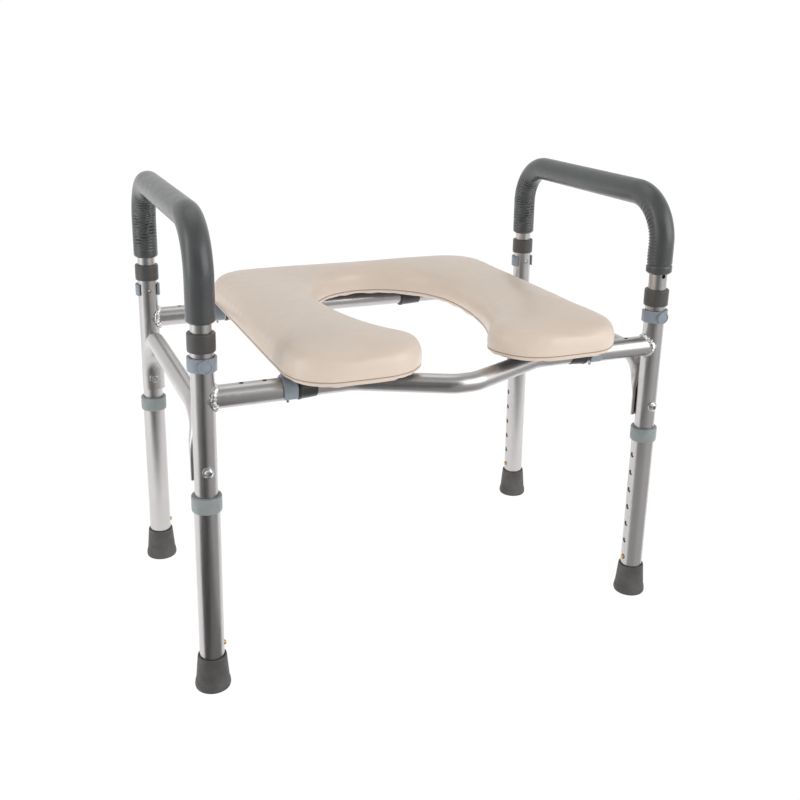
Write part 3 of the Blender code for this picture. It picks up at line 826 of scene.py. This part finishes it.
def clip_band_mesh():
    """Spring clip's plastic: a C-shaped band round Z with a round head on its +X side."""
    inner, outer, width = 0.0131, 0.0158, 0.0150
    half_arc = math.radians(124)
    steps, edge = 72, 0.0008
    bm = bmesh.new()
    section = []
    corners = ((inner, -width / 2), (outer, -width / 2), (outer, width / 2), (inner, width / 2))
    for n, (r, z) in enumerate(corners):
        middle_r, start = (inner + outer) / 2, math.pi + n * QUARTER
        cx, cz = r - math.copysign(edge, r - middle_r), z - math.copysign(edge, z)
        for m in range(4):
            angle = start + m / 3 * QUARTER
            section.append((cx + edge * math.cos(angle), cz + edge * math.sin(angle)))
    rings = []
    for k in range(steps + 1):
        angle = half_arc * (2 * k / steps - 1)
        taper = 1.0 if 1 < k < steps - 1 else 0.80 + 0.16 * min(k, steps - k)
        loop = []
        for r, z in section:
            radius = (inner + outer) / 2 + (r - (inner + outer) / 2) * taper
            at = (radius * math.cos(angle), radius * math.sin(angle), z * (0.9 + 0.1 * taper))
            loop.append(bm.verts.new(at))
        rings.append(loop)
    skin(bm, rings)
    bm.faces.new(rings[0])
    bm.faces.new(rings[-1])
    band = finish_mesh(bm, "clip_shape", 40)
    head_top = 0.0182
    profile = (
        (0, 0.0140),
        (0.0074, 0.0140),
        (0.0074, head_top),
        (0.0064, head_top),
        (0.0060, head_top - 0.0008),
        (0.0054, head_top - 0.0008),
        (0, head_top + 0.0003),
    )
    head = turned(soft_corners(profile, 0.0007), 56)
    head.transform(rotation(QUARTER, "Y"))
    return combine(band, head, "UNION", 40)


def clip_pin_mesh(tip):
    """Steel pin from the clip's head through to the far side, with a rounded end."""
    radius = 0.0022
    profile = ((0, 0.0145), (radius, 0.0145), (radius, -tip + 0.0006), (radius - 0.0006, -tip), (0, -tip))
    bm = turned(soft_corners(profile, 0.0004), 28)
    bm.transform(rotation(QUARTER, "Y"))
    return finish_mesh(bm, "clip_pin_shape", 40)


def saddle_mesh(node):
    """Tapered sleeve and neck that hang under the seat and turn on the rear bar."""
    low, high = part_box(node)
    half = (high[0] - low[0]) / 2
    bore_r = BAR_R + 0.0004
    profile = (
        (bore_r, -half),
        (0.0140, -half),
        (0.0142, -half + 0.0030),
        (0.0134, -half + 0.0042),
        (0.0123, half),
        (bore_r, half),
    )
    bm = turned(soft_corners(profile, 0.0007))
    bm.transform(rotation(QUARTER, "Y"))
    mesh = finish_mesh(bm, "saddle_shape", 50)
    top = high[2] - BAR_Z
    size = Vector((0.021, 0.012, top - 0.0115))
    return combine(mesh, rounded_box((0, -0.005, top - size.z / 2), size, 0.001), "UNION", 40)


def smoothstep(t):
    t = min(max(t, 0.0), 1.0)
    return t * t * (3 - 2 * t)


def rail_mesh(side):
    """Side rail: a bent tube whose ends are flattened and dished round the uprights."""
    node = f"{side}_side_rail"
    low_z, high_z = span(node)
    top = high_z - BAR_R
    bolt_z = along_leg(f"front_{side}_rail_bolt")
    seat_y = HALF_DEPTH - UPRIGHT_R - RAIL_FLAT_HALF - GAP
    corners = ((0, -seat_y, low_z), (0, -seat_y, top), (0, seat_y, top), (0, seat_y, low_z))
    stations = densify(rounded(corners, RAIL_BEND_R, 16), 0.003)
    flat_to, round_from = bolt_z + 0.010, top - 0.010
    hug_r = UPRIGHT_R + GAP + RAIL_FLAT_HALF
    bm = bmesh.new()
    outer, inner = [], []
    for point, direction in stations:
        flat = 1 - smoothstep((point.z - flat_to) / (round_from - flat_to))
        place = station_frame(point, direction, X_AXIS)
        towards_post = place.to_3x3().inverted() @ Vector((0, math.copysign(1, point.y), 0))
        facing = math.copysign(1, towards_post.y)
        for rings, inset in ((outer, 0.0), (inner, WALL)):
            wide = BAR_R + (RAIL_FLAT_WIDE - BAR_R) * flat - inset
            thick = BAR_R + (RAIL_FLAT_HALF - BAR_R) * flat - inset
            loop = []
            for c, s in circle(TUBE_SIDES):
                across = wide * c
                depth = thick * math.copysign(abs(s) ** (1 - 0.5 * flat), s)
                wrap = across / hug_r * flat
                if flat > 0.001:
                    reach = hug_r / flat - depth * facing
                    across, depth = reach * math.sin(wrap), facing * (hug_r / flat - reach * math.cos(wrap))
                loop.append(bm.verts.new(place @ Vector((across, depth, 0))))
            rings.append(loop)
    shell(bm, outer, inner)
    holes = []
    for sign in END_SIGN.values():
        start = (0, sign * (HALF_DEPTH - 0.030), bolt_z)
        holes.append((start, (0, sign * HALF_DEPTH, bolt_z), BOLT_HOLE_R))
    return drilled(finish_mesh(bm, "side_rail_tube"), holes)


def arm_route(front_z, rear_z, top_z):
    front, rear = -HALF_DEPTH, HALF_DEPTH
    corners = ((0, front, front_z), (0, front, top_z), (0, rear, top_z), (0, rear, rear_z))
    return rounded(corners, ARM_BEND_R, 20)


def arm_tube_mesh(side):
    """Armrest loop with a row of pin holes in each leg."""
    low = span(f"{side}_armrest_tube", BAR_R)[0]
    top = span(f"{side}_armrest_tube")[1] - BAR_R
    holes = []
    for end, sign in END_SIGN.items():
        pin_z = along_leg(f"{end}_{side}_arm_clip")
        for k in range(-ARM_HOLES_BELOW, ARM_HOLES_ABOVE + 1):
            y, z = sign * HALF_DEPTH, pin_z + k * HOLE_PITCH
            holes.append(((0, y - DRILL_REACH, z), (0, y + DRILL_REACH, z), PIN_HOLE_R))
    return drilled(pipe("armrest_tube", arm_route(low, low, top), X_AXIS, BAR_R), holes)


def grip_mesh(side):
    """Grip cover: smooth on top, puckered on the inside of its bends, tucked in at its ends."""
    top = span(f"{side}_armrest_tube")[1] - BAR_R
    end_z = span(f"{side}_armrest_grip", GRIP_R)[0]
    front_z = end_z + (RIGHT_FRONT_GRIP_RISE if side == "right" else 0)
    stations = densify(arm_route(front_z, end_z, top), 0.0011)
    sides = 72
    bm = bmesh.new()
    outer = []
    for point, direction in stations:
        place = station_frame(point, direction, X_AXIS)
        end_low = front_z if point.y < 0 else end_z
        rise = point.z - end_low
        bend_share = smoothstep((top - 0.004 - point.z) / 0.020) * smoothstep((rise - 0.004) / 0.012)
        hem = side == "right" and point.y < 0
        loop = []
        for x, y in circle(sides):
            facing = place.to_3x3() @ Vector((x, y, 0))
            inward = -facing.y * math.copysign(0.9, point.y) - facing.z * 0.35
            if side == "right":
                inward -= facing.x * 0.6
            pucker = smoothstep(inward * 1.7) * bend_share
            drift = noise.noise(Vector((x * 0.9, y * 0.9, point.z * 14)))
            patch = noise.noise(Vector((x * 1.4, y * 1.4, point.z * 75)))
            phase = 2 * math.pi * point.z / WRINKLE_PITCH + drift * 4
            fold = (0.5 + 0.5 * math.sin(phase)) ** 2.5 * max(0.2, 0.7 + 0.9 * patch)
            radius = GRIP_R - WRINKLE_DEPTH * fold * pucker
            if hem:
                radius -= 0.0009 * math.exp(-(((rise - 0.0108) / 0.0009) ** 2))
                radius += 0.0004 * smoothstep((0.0105 - rise) / 0.002)
            radius -= 0.0022 * (1 - smoothstep(rise / 0.0030)) ** 2
            loop.append(bm.verts.new(place @ Vector((radius * x, radius * y, 0))))
        outer.append(loop)
    inner = []
    for point, direction in arm_route(front_z, end_z, top):
        inner.append(ring(bm, station_frame(point, direction, X_AXIS), BAR_R + GAP, sides))
    shell(bm, outer, inner)
    return finish_mesh(bm, "grip_shape", 60)


def cross_bar_mesh(end):
    """Front bar, bowed forward, or straight rear bar, with its pin holes."""
    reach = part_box(f"{end}_cross_bar")[1][0]
    depth = bar_y("front") - BAR_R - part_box("front_cross_bar")[0][1]
    if end == "front":
        bow = ((reach, 0, 0), (BOW_START_X, 0, 0), (BOW_FLAT_X, -depth, -BOW_DROP))
        corners = [*[(-x, y, z) for x, y, z in bow], *reversed(bow)]
        stations = rounded(corners, BOW_BEND_R, 12)
    else:
        stations = straight((-reach, 0, 0), (reach, 0, 0))
    pins = [middle(f"{end}_{side}_width_clip").x for side in SIDE_SIGN]
    holes = [((x, 0, -DRILL_REACH), (x, 0, DRILL_REACH), PIN_HOLE_R) for x in pins]
    return drilled(pipe(f"{end}_bar_tube", stations, Z_AXIS, BAR_R), holes)


# --- seat


def arc(centre_x, centre_y, radius, start_deg, end_deg):
    """Points of a corner's arc seen from above."""
    points = []
    for k in range(ARC_STEPS + 1):
        angle = math.radians(start_deg + (end_deg - start_deg) * k / ARC_STEPS)
        points.append((centre_x + radius * math.cos(angle), centre_y + radius * math.sin(angle)))
    return points


def ellipse_x(y, reach):
    return OPENING_HALF_WIDTH * math.sqrt(1 - ((y - OPENING_CENTRE_Y) / reach) ** 2)


def seat_outline(pitch=0.005):
    """The pad seen from above, anticlockwise, with points about pitch apart."""
    low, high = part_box("seat_cushion")
    half_width, front, rear = high[0], low[1] - MIDDLE_Y, high[1] - MIDDLE_Y
    half = []
    steps = 24
    for k in range(steps):
        angle = QUARTER * k / steps
        x = OPENING_HALF_WIDTH * math.sin(angle)
        half.append((x, OPENING_CENTRE_Y + OPENING_REAR_REACH * math.cos(angle)))
    for k in range(steps):
        y = OPENING_CENTRE_Y + (NARROWEST_Y - OPENING_CENTRE_Y) * k / steps
        half.append((ellipse_x(y, OPENING_FRONT_REACH), y))
    lobe_x = ellipse_x(NARROWEST_Y, OPENING_FRONT_REACH) + LOBE_CORNER_R
    half += arc(lobe_x, front + LOBE_CORNER_R, LOBE_CORNER_R, 180, 270)
    half += arc(half_width - FRONT_CORNER_R, front + FRONT_CORNER_R, FRONT_CORNER_R, 270, 360)
    half += arc(half_width - REAR_CORNER_R, rear - REAR_CORNER_R, REAR_CORNER_R, 0, 90)
    half.append((0, rear))
    corners = half + [(-x, y) for x, y in reversed(half[1:-1])]
    outline = []
    for k, corner in enumerate(corners):
        start, end = Vector(corner), Vector(corners[(k + 1) % len(corners)])
        count = max(1, round((end - start).length / pitch))
        for n in range(count):
            outline.append(start.lerp(end, n / count))
    return smooth_loop(outline, 3)


def smooth_loop(outline, rounds):
    """A closed outline whose points are eased towards their neighbours."""
    for _ in range(rounds):
        count = len(outline)
        outline = [outline[k] / 2 + (outline[k - 1] + outline[(k + 1) % count]) / 4 for k in range(count)]
    return outline


def inset_points(outline, inset):
    """The outline moved in, with its height left to the caller."""
    count = len(outline)
    points = []
    for k, at in enumerate(outline):
        along = (outline[(k + 1) % count] - outline[k - 1]).normalized()
        points.append(Vector((at.x - along.y * inset, MIDDLE_Y + at.y + along.x * inset)))
    return points


def layered(outline, levels):
    """A closed body from inset copies of the outline, (inset, height), bottom first."""
    bm = bmesh.new()
    rings = []
    for inset, z in levels:
        rings.append([bm.verts.new((p.x, p.y, z)) for p in inset_points(outline, inset)])
    skin(bm, rings)
    bm.faces.new(list(reversed(rings[0])))
    bm.faces.new(rings[-1])
    return bm


def pad_rise(depth, height):
    """Height of the pad's top above its underside, this far in from its outline."""
    share = min(depth / PAD_ROUNDING, 1.0)
    bulge = (1 - (1 - share) ** PAD_FULLNESS) ** (1 / PAD_FULLNESS)
    return PAD_SIDE + (height - PAD_SIDE) * bulge


def cushion_mesh():
    """The pad: a block rounded by the distance from its outline, remeshed and blown up as cloth."""
    low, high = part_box("seat_cushion")
    bottom, height = low[2], high[2] - low[2] - 0.0010
    outline = seat_outline()
    block = layered(outline, ((PAD_SHRINK, bottom), (PAD_SHRINK, bottom + height)))
    obj = linked("pad", finish_mesh(block, "pad"))
    remesh(obj, 0.0040)
    rim = inset_points(outline, PAD_SHRINK)
    nearest = KDTree(len(rim))
    for k, point in enumerate(rim):
        nearest.insert((point.x, point.y, 0), k)
    nearest.balance()
    for vert in obj.data.vertices:
        depth = nearest.find((vert.co.x, vert.co.y, 0))[2]
        vert.co.z = bottom + (vert.co.z - bottom) / height * pad_rise(depth, height)
    remesh(obj, 0.0046)
    smooth(obj, 6)
    inflate(obj, bottom)
    lock_x = abs(middle("front_left_width_clip").x)
    for vert in obj.data.vertices:
        depth = nearest.find((vert.co.x, vert.co.y, 0))[2]
        vert.co.z = max(vert.co.z, bottom + UNDERSIDE_RISE * smoothstep((depth - 0.004) / 0.004))
        below_seam = min(max((bottom + SEAM_RISE - vert.co.z) / SEAM_RISE, 0), 1)
        at_edge = 1 - smoothstep((depth - 0.0045) / 0.003)
        vert.co.z -= LIP_DROP * below_seam * at_edge * clear_of_locks(vert.co, lock_x)
    refine = obj.modifiers.new("refine", "SUBSURF")
    refine.levels = 1
    refine.render_levels = 1
    mesh = applied(obj)
    tuck_below_seam(mesh, bottom + SEAM_RISE)
    mesh.shade_smooth()
    bpy.data.objects.remove(obj)
    mesh.name = "cushion_shape"
    return mesh


def clear_of_locks(at, lock_x):
    """0 where the pad's edge passes over a width lock's clip, 1 well away from it."""
    if abs(at.x) < lock_x - 0.025:
        return 1.0
    gap = min(abs(at.y - bar_y(end)) for end in END_SIGN)
    return smoothstep((gap - 0.016) / 0.010)


def remesh(obj, voxel):
    modifier = obj.modifiers.new("remesh", "REMESH")
    modifier.mode = "VOXEL"
    modifier.voxel_size = voxel
    applied(obj)


def smooth(obj, rounds):
    modifier = obj.modifiers.new("smooth", "SMOOTH")
    modifier.factor = 0.5
    modifier.iterations = rounds
    applied(obj)


def inflate(obj, bottom):
    """Blows the pad up as cloth with its underside pinned, and caps how far any point has moved."""
    cap = 0.0060
    before = [vert.co.copy() for vert in obj.data.vertices]
    pins = obj.vertex_groups.new(name="held")
    for vert in obj.data.vertices:
        hold = 1 - smoothstep((vert.co.z - bottom - 0.004) / 0.004)
        if hold > 0:
            pins.add([vert.index], hold, "REPLACE")
    cloth = obj.modifiers.new("cloth", "CLOTH")
    settings = cloth.settings
    settings.quality = 5
    settings.mass = 0.3
    settings.tension_stiffness = settings.compression_stiffness = 22
    settings.shear_stiffness = 12
    settings.bending_stiffness = 6
    settings.use_pressure = True
    settings.uniform_pressure_force = 4
    settings.effector_weights.gravity = 0
    settings.vertex_group_mass = "held"
    cloth.collision_settings.use_self_collision = False
    scene = bpy.context.scene
    frames = 20
    cloth.point_cache.frame_start = 1
    cloth.point_cache.frame_end = frames
    for number in range(1, frames + 1):
        scene.frame_set(number)
    mesh = applied(obj)
    for vert, start in zip(mesh.vertices, before, strict=True):
        move = vert.co - start
        if move.length > cap:
            vert.co = start + move * cap / move.length
    scene.frame_set(1)
    smooth(obj, 6)


def tuck_below_seam(mesh, seam_z):
    """Draws the strip under the seam in a little."""
    normals = [vert.normal.copy() for vert in mesh.vertices]
    for vert, normal in zip(mesh.vertices, normals, strict=True):
        tuck = 0.0011 * (1 - smoothstep((vert.co.z - seam_z + 0.0005) / 0.0030))
        vert.co -= Vector((normal.x, normal.y, 0)) * tuck


def on_surface(tree, outline, z):
    """Points on the pad's side wall at height z, and their outward directions."""
    count = len(outline)
    found = []
    for k, at in enumerate(outline):
        along = (outline[(k + 1) % count] - outline[k - 1]).normalized()
        out = Vector((along.y, -along.x, 0))
        start = Vector((at.x, at.y + MIDDLE_Y, z)) + out * 0.02
        hit, _, _, _ = tree.ray_cast(start, -out, 0.05)
        if hit is not None:
            found.append((hit, out))
    return found


def cord_round(points, radius, lift):
    """A closed cord along surface points, its middle lifted off them."""
    bm = bmesh.new()
    rings = []
    count = len(points)
    for k, (at, out) in enumerate(points):
        along = (points[(k + 1) % count][0] - points[k - 1][0]).normalized()
        rings.append(ring(bm, station_frame(at + out * lift, along, out), radius, 12))
    skin(bm, rings, close=True)
    return bm


def seat_pieces():
    """The pad, its piping, its sewn seam, whose dark cord also paints the shadow in the seam's groove, and
    the moulded base.
    """
    mesh = cushion_mesh()
    pad = piece("seat_pad_cover", mesh, VINYL, "seat", node="seat_cushion")
    corners = [vert.co.copy() for vert in mesh.vertices]
    tree = BVHTree.FromPolygons(corners, [tuple(face.vertices) for face in mesh.polygons])
    fine_outline = seat_outline(0.0016)
    seam_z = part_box("seat_cushion")[0][2] + SEAM_RISE
    # The seam row is a thin dark cord: the seam's thread and the painted shadow in its groove.
    rows = (("piping", VINYL, 0, 0.00125, 0.0005), ("seam", SEAM_THREAD_AND_SHADOW, 0.0017, 0.00042, 0))
    for part, look, rise, radius, lift in rows:
        points = on_surface(tree, fine_outline, seam_z + rise)
        cord = finish_mesh(cord_round(points, radius, lift), f"{part}_shape", 80)
        piece(f"seat_pad_{part}", cord, look, "seat")
    base_pieces()


def base_pieces():
    """Moulded base: a board with a rolled edge, two rests on the front bar and a ring of screws below."""
    rest_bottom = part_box("seat_base")[0][2]
    cushion_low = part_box("seat_cushion")[0][2]
    board_top = cushion_low + 0.0050
    levels = (
        (0.0108, cushion_low),
        (0.0101, cushion_low + 0.0002),
        (0.0098, cushion_low + 0.0008),
        (0.0098, board_top),
    )
    mesh = finish_mesh(layered(seat_outline(), levels), "base_shape", 40)
    for sign in SIDE_SIGN.values():
        size = Vector((0.022, 0.026, board_top - rest_bottom))
        at = (sign * 0.1000, MIDDLE_Y - 0.1750, rest_bottom + size.z / 2)
        mesh = combine(mesh, rounded_box(at, size, 0.0012), "UNION", 40)
    piece("seat_base_board", mesh, BASE_PLASTIC, "seat", node="seat_base")
    profile = (
        (0, 0.0004),
        (0.0016, 0.0004),
        (0.0020, 0),
        (0.0034, 0.0003),
        (0.0040, 0.0012),
        (0.0040, 0.0022),
        (0, 0.0022),
    )
    screw = finish_mesh(turned(profile, 24), "base_screw_shape", 40)
    spots = [(x, y) for x in (0.150, 0.172) for y in (-0.195, -0.06, 0.06)]
    spots += [(0.060, 0.165), (0.150, 0.165)]
    for k, (x, y) in enumerate(spots):
        for side, sign in SIDE_SIGN.items():
            at = shift(sign * x, MIDDLE_Y + y, cushion_low - 0.0008)
            piece(f"{side}_base_screw_{k}", screw, STEEL, "seat", at)


# --- assembly


def leg_pieces():
    """Everything that repeats at the four legs."""
    leg, post = leg_mesh(), upright_mesh()
    leg_cap = collar_mesh("front_right_leg_collar", LEG_R, UPRIGHT_R, LEG_COLLAR_R)
    post_cap = collar_mesh("front_right_upright_collar", UPRIGHT_R, BAR_R, UPRIGHT_COLLAR_R)
    tip, button = tip_mesh(), button_mesh()
    stub, weld, sleeve, band = stub_mesh(), weld_mesh(), sleeve_mesh(), clip_band_mesh()
    arm_pin, width_pin = clip_pin_mesh(ARM_PIN_REACH), clip_pin_mesh(WIDTH_PIN_REACH)
    washer, screw, nut = bolt_meshes()
    for side, sign in SIDE_SIGN.items():
        for end, end_sign in END_SIGN.items():
            name, place, bar = f"{end}_{side}", leg_place(side, end), (bar_y(end), BAR_Z)
            button_z = along_leg(f"{name}_snap_button")
            button_at = place @ shift(BUTTON_FOOT_X, 0, button_z) @ rotation(QUARTER, "Y")
            inward = rotation(math.pi if side == "right" else 0, "Z")
            stub_at = shift(sign * (HALF_WIDTH - math.tan(LEAN) * BAR_Z), *bar) @ inward
            low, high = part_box(f"{name}_stub_sleeve")
            sleeve_x = high[0] if side == "right" else low[0]
            sleeve_at = shift(sleeve_x, *bar) @ rotation(-sign * QUARTER, "Y")
            outward = rotation(math.pi if end == "rear" else 0, "Z")
            bolt_at = on_post(side, end, f"{name}_rail_bolt") @ outward
            arm_clip_at = on_post(side, end, f"{name}_arm_clip") @ rotation(end_sign * QUARTER, "Z")
            width_clip_at = shift(middle(f"{name}_width_clip").x, *bar) @ rotation(-QUARTER, "Y")
            # Piece, mesh, look, the body after the leg's name, place, the CAD node after the leg's name
            rows = (
                ("leg_tube", leg, ALUMINIUM, "leg", place, "lower_leg"),
                ("leg_cap", leg_cap, LEG_PLASTIC, "leg", place, "leg_collar"),
                ("ferrule", tip, RUBBER, "leg", place, "rubber_tip"),
                ("post", post, ALUMINIUM, None, place, "upright"),
                ("post_cap", post_cap, DARK_PLASTIC, None, place, "upright_collar"),
                ("push_button", button, BRASS, "button", button_at, "snap_button"),
                ("stub_tube", stub, ALUMINIUM, None, stub_at, "cross_stub"),
                ("weld", weld, WELD, None, stub_at, None),
                ("bushing", sleeve, BLACK_PLASTIC, None, sleeve_at, "stub_sleeve"),
                ("screw", screw, STEEL, None, bolt_at, "rail_bolt"),
                ("washers", washer, STEEL, None, bolt_at, None),
                ("nut", nut, STEEL, None, bolt_at, None),
                ("arm_lock_band", band, CLIP_PLASTIC, "arm_lock", arm_clip_at, "arm_clip"),
                ("arm_lock_pin", arm_pin, STEEL, "arm_lock", arm_clip_at, None),
                ("width_lock_band", band, CLIP_PLASTIC, "width_lock", width_clip_at, "width_clip"),
                ("width_lock_pin", width_pin, STEEL, "width_lock", width_clip_at, None),
            )
            for part, mesh, look, own_body, at, node in rows:
                body = f"{name}_{own_body}" if own_body else f"{side}_side_frame"
                piece(f"{name}_{part}", mesh, look, body, at, node and f"{name}_{node}")
            leaf_spring(name, place)


def leaf_spring(name, place):
    """The spring behind a snap button, baked in place in the leg's frame."""
    mesh = spring_mesh()
    material, slot = SPRING
    mesh.materials.append(material)
    obj = linked(f"{name}_leaf_spring", mesh)
    obj.matrix_world = place
    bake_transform(obj)
    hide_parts(f"{name}_snap_spring")


def loop_pieces():
    """Rails, armrests, grips, saddles and cross bars."""
    for side in SIDE_SIGN:
        place, arm, saddle = side_place(side), f"{side}_armrest", f"{side}_seat_saddle"
        rail = rail_mesh(side)
        piece(f"{side}_rail_tube", rail, ALUMINIUM, f"{side}_side_frame", place, f"{side}_side_rail")
        piece(f"{side}_arm_tube", arm_tube_mesh(side), ALUMINIUM, arm, place, f"{arm}_tube")
        grip = piece(f"{side}_grip_cover", grip_mesh(side), GRIP, arm, place, f"{arm}_grip")
        outward = rotation(0 if side == "right" else math.pi, "Z")
        saddle_at = shift(middle(saddle).x, bar_y("rear"), BAR_Z) @ outward
        piece(f"{side}_saddle", saddle_mesh(saddle), BLACK_PLASTIC, "seat", saddle_at, saddle)
    for end in END_SIGN:
        place = shift(0, bar_y(end), BAR_Z)
        piece(f"{end}_bar_tube", cross_bar_mesh(end), ALUMINIUM, "cross_frame", place, f"{end}_cross_bar")


# --- studio


def camera():
    """Camera at the chair's front left, above the armrests and looking down."""
    right = Vector((math.cos(CAMERA_YAW), -math.sin(CAMERA_YAW), 0))
    level = math.cos(CAMERA_PITCH)
    ahead = Vector((math.sin(CAMERA_YAW) * level, math.cos(CAMERA_YAW) * level, math.sin(CAMERA_PITCH)))
    up = right.cross(ahead)
    rolled_right = right * math.cos(CAMERA_ROLL) + up * math.sin(CAMERA_ROLL)
    rolled_up = up * math.cos(CAMERA_ROLL) - right * math.sin(CAMERA_ROLL)
    data = bpy.data.cameras.new("camera")
    data.lens = CAMERA_LENS
    data.sensor_width = 36
    data.shift_x, data.shift_y = CAMERA_SHIFT
    data.clip_start = 0.01
    obj = linked("camera", data)
    facing = Matrix((rolled_right, rolled_up, -ahead)).transposed().to_4x4()
    obj.matrix_world = Matrix.Translation(CAMERA_AT) @ facing
    bpy.context.scene.camera = obj


def floor():
    """A wide, flat, pale floor that lights the chair and shows in its reflections, but not to the camera."""
    reach, steps, drop = 60.0, 24, 0.0002
    paint = Paint("studio_floor", (0.93, 0.93, 0.93), 0.75)
    paint.glow(0.43)
    paint.vary_roughness(paint.noise(3, 2), 0.70, 0.80)
    bm = bmesh.new()
    bmesh.ops.create_grid(bm, x_segments=steps, y_segments=steps, size=reach, matrix=shift(0, 0, -drop))
    mesh = finish_mesh(bm, "floor")
    mesh.materials.append(paint.material)
    obj = linked("floor", mesh)
    obj.visible_camera = False


def flag(name, corners, glow):
    """A dark card that only reflections see, as the unlit side of a studio does."""
    paint = Paint(name, (0.03, 0.03, 0.03), 0.9)
    paint.glow(glow)
    paint.vary_roughness(paint.noise(3, 2), 0.85, 0.95)
    bm = bmesh.new()
    bm.faces.new([bm.verts.new(corner) for corner in corners])
    mesh = finish_mesh(bm, name)
    mesh.materials.append(paint.material)
    obj = linked(name, mesh)
    obj.visible_camera = obj.visible_diffuse = obj.visible_shadow = False


def light(name, at, size, power):
    """A soft box that faces the seat."""
    data = bpy.data.lights.new(name, "AREA")
    data.shape = "RECTANGLE"
    data.size, data.size_y = size
    data.energy = power
    obj = linked(name, data)
    obj.location = at
    obj.rotation_euler = (Vector((0, 0, 0.35)) - Vector(at)).to_track_quat("-Z", "Y").to_euler()


def studio():
    """A white room, darker overhead, with soft boxes above, at the left and in front, and dark flags."""
    scene = bpy.context.scene
    scene.view_settings.view_transform = "Standard"
    scene.world = bpy.data.worlds.new("studio")
    scene.world.use_nodes = True
    tree = scene.world.node_tree
    background = tree.nodes["Background"]
    coords = tree.nodes.new("ShaderNodeTexCoord")
    split = tree.nodes.new("ShaderNodeSeparateXYZ")
    overhead = tree.nodes.new("ShaderNodeMapRange")
    overhead.interpolation_type = "SMOOTHSTEP"
    values = {"From Min": 0.55, "From Max": 0.92, "To Min": 1.02, "To Max": 0.52}
    for name, value in values.items():
        overhead.inputs[name].default_value = value
    tree.links.new(coords.outputs["Generated"], split.inputs["Vector"])
    tree.links.new(split.outputs["Z"], overhead.inputs["Value"])
    tree.links.new(overhead.outputs["Result"], background.inputs["Strength"])
    background.inputs["Color"].default_value = (1, 1, 1, 1)
    # Flags on the floor in front, each with its left, right and rear edge and its glow
    front = -3.5
    strips = (
        (-2.60, -0.80, -0.30, 0.27),
        (-0.80, -0.33, -0.16, 0.02),
        (-0.33, -0.16, -0.16, 0.16),
        (-0.16, 0.28, -0.16, 0.42),
        (0.28, 2.80, -0.16, 0.55),
    )
    for k, (left, right, rear, glow) in enumerate(strips):
        corners = ((left, front, 0), (right, front, 0), (right, rear, 0), (left, rear, 0))
        flag(f"floor_flag_{k}", corners, glow)
    flag("front_flag", ((-2.8, -2.1, -0.4), (1.0, -3.3, -0.4), (1.0, -3.3, 2.3), (-2.8, -2.1, 2.3)), 0.16)
    light("top_box", (-0.1, 0.5, 2.4), (2.0, 1.2), 8)
    light("left_box", (-2.3, -0.1, 1.1), (0.8, 1.8), 14)
    light("front_box", (1.7, -1.9, 1.3), (2.4, 1.9), 34)


camera()
leg_pieces()
loop_pieces()
seat_pieces()
floor()
studio()
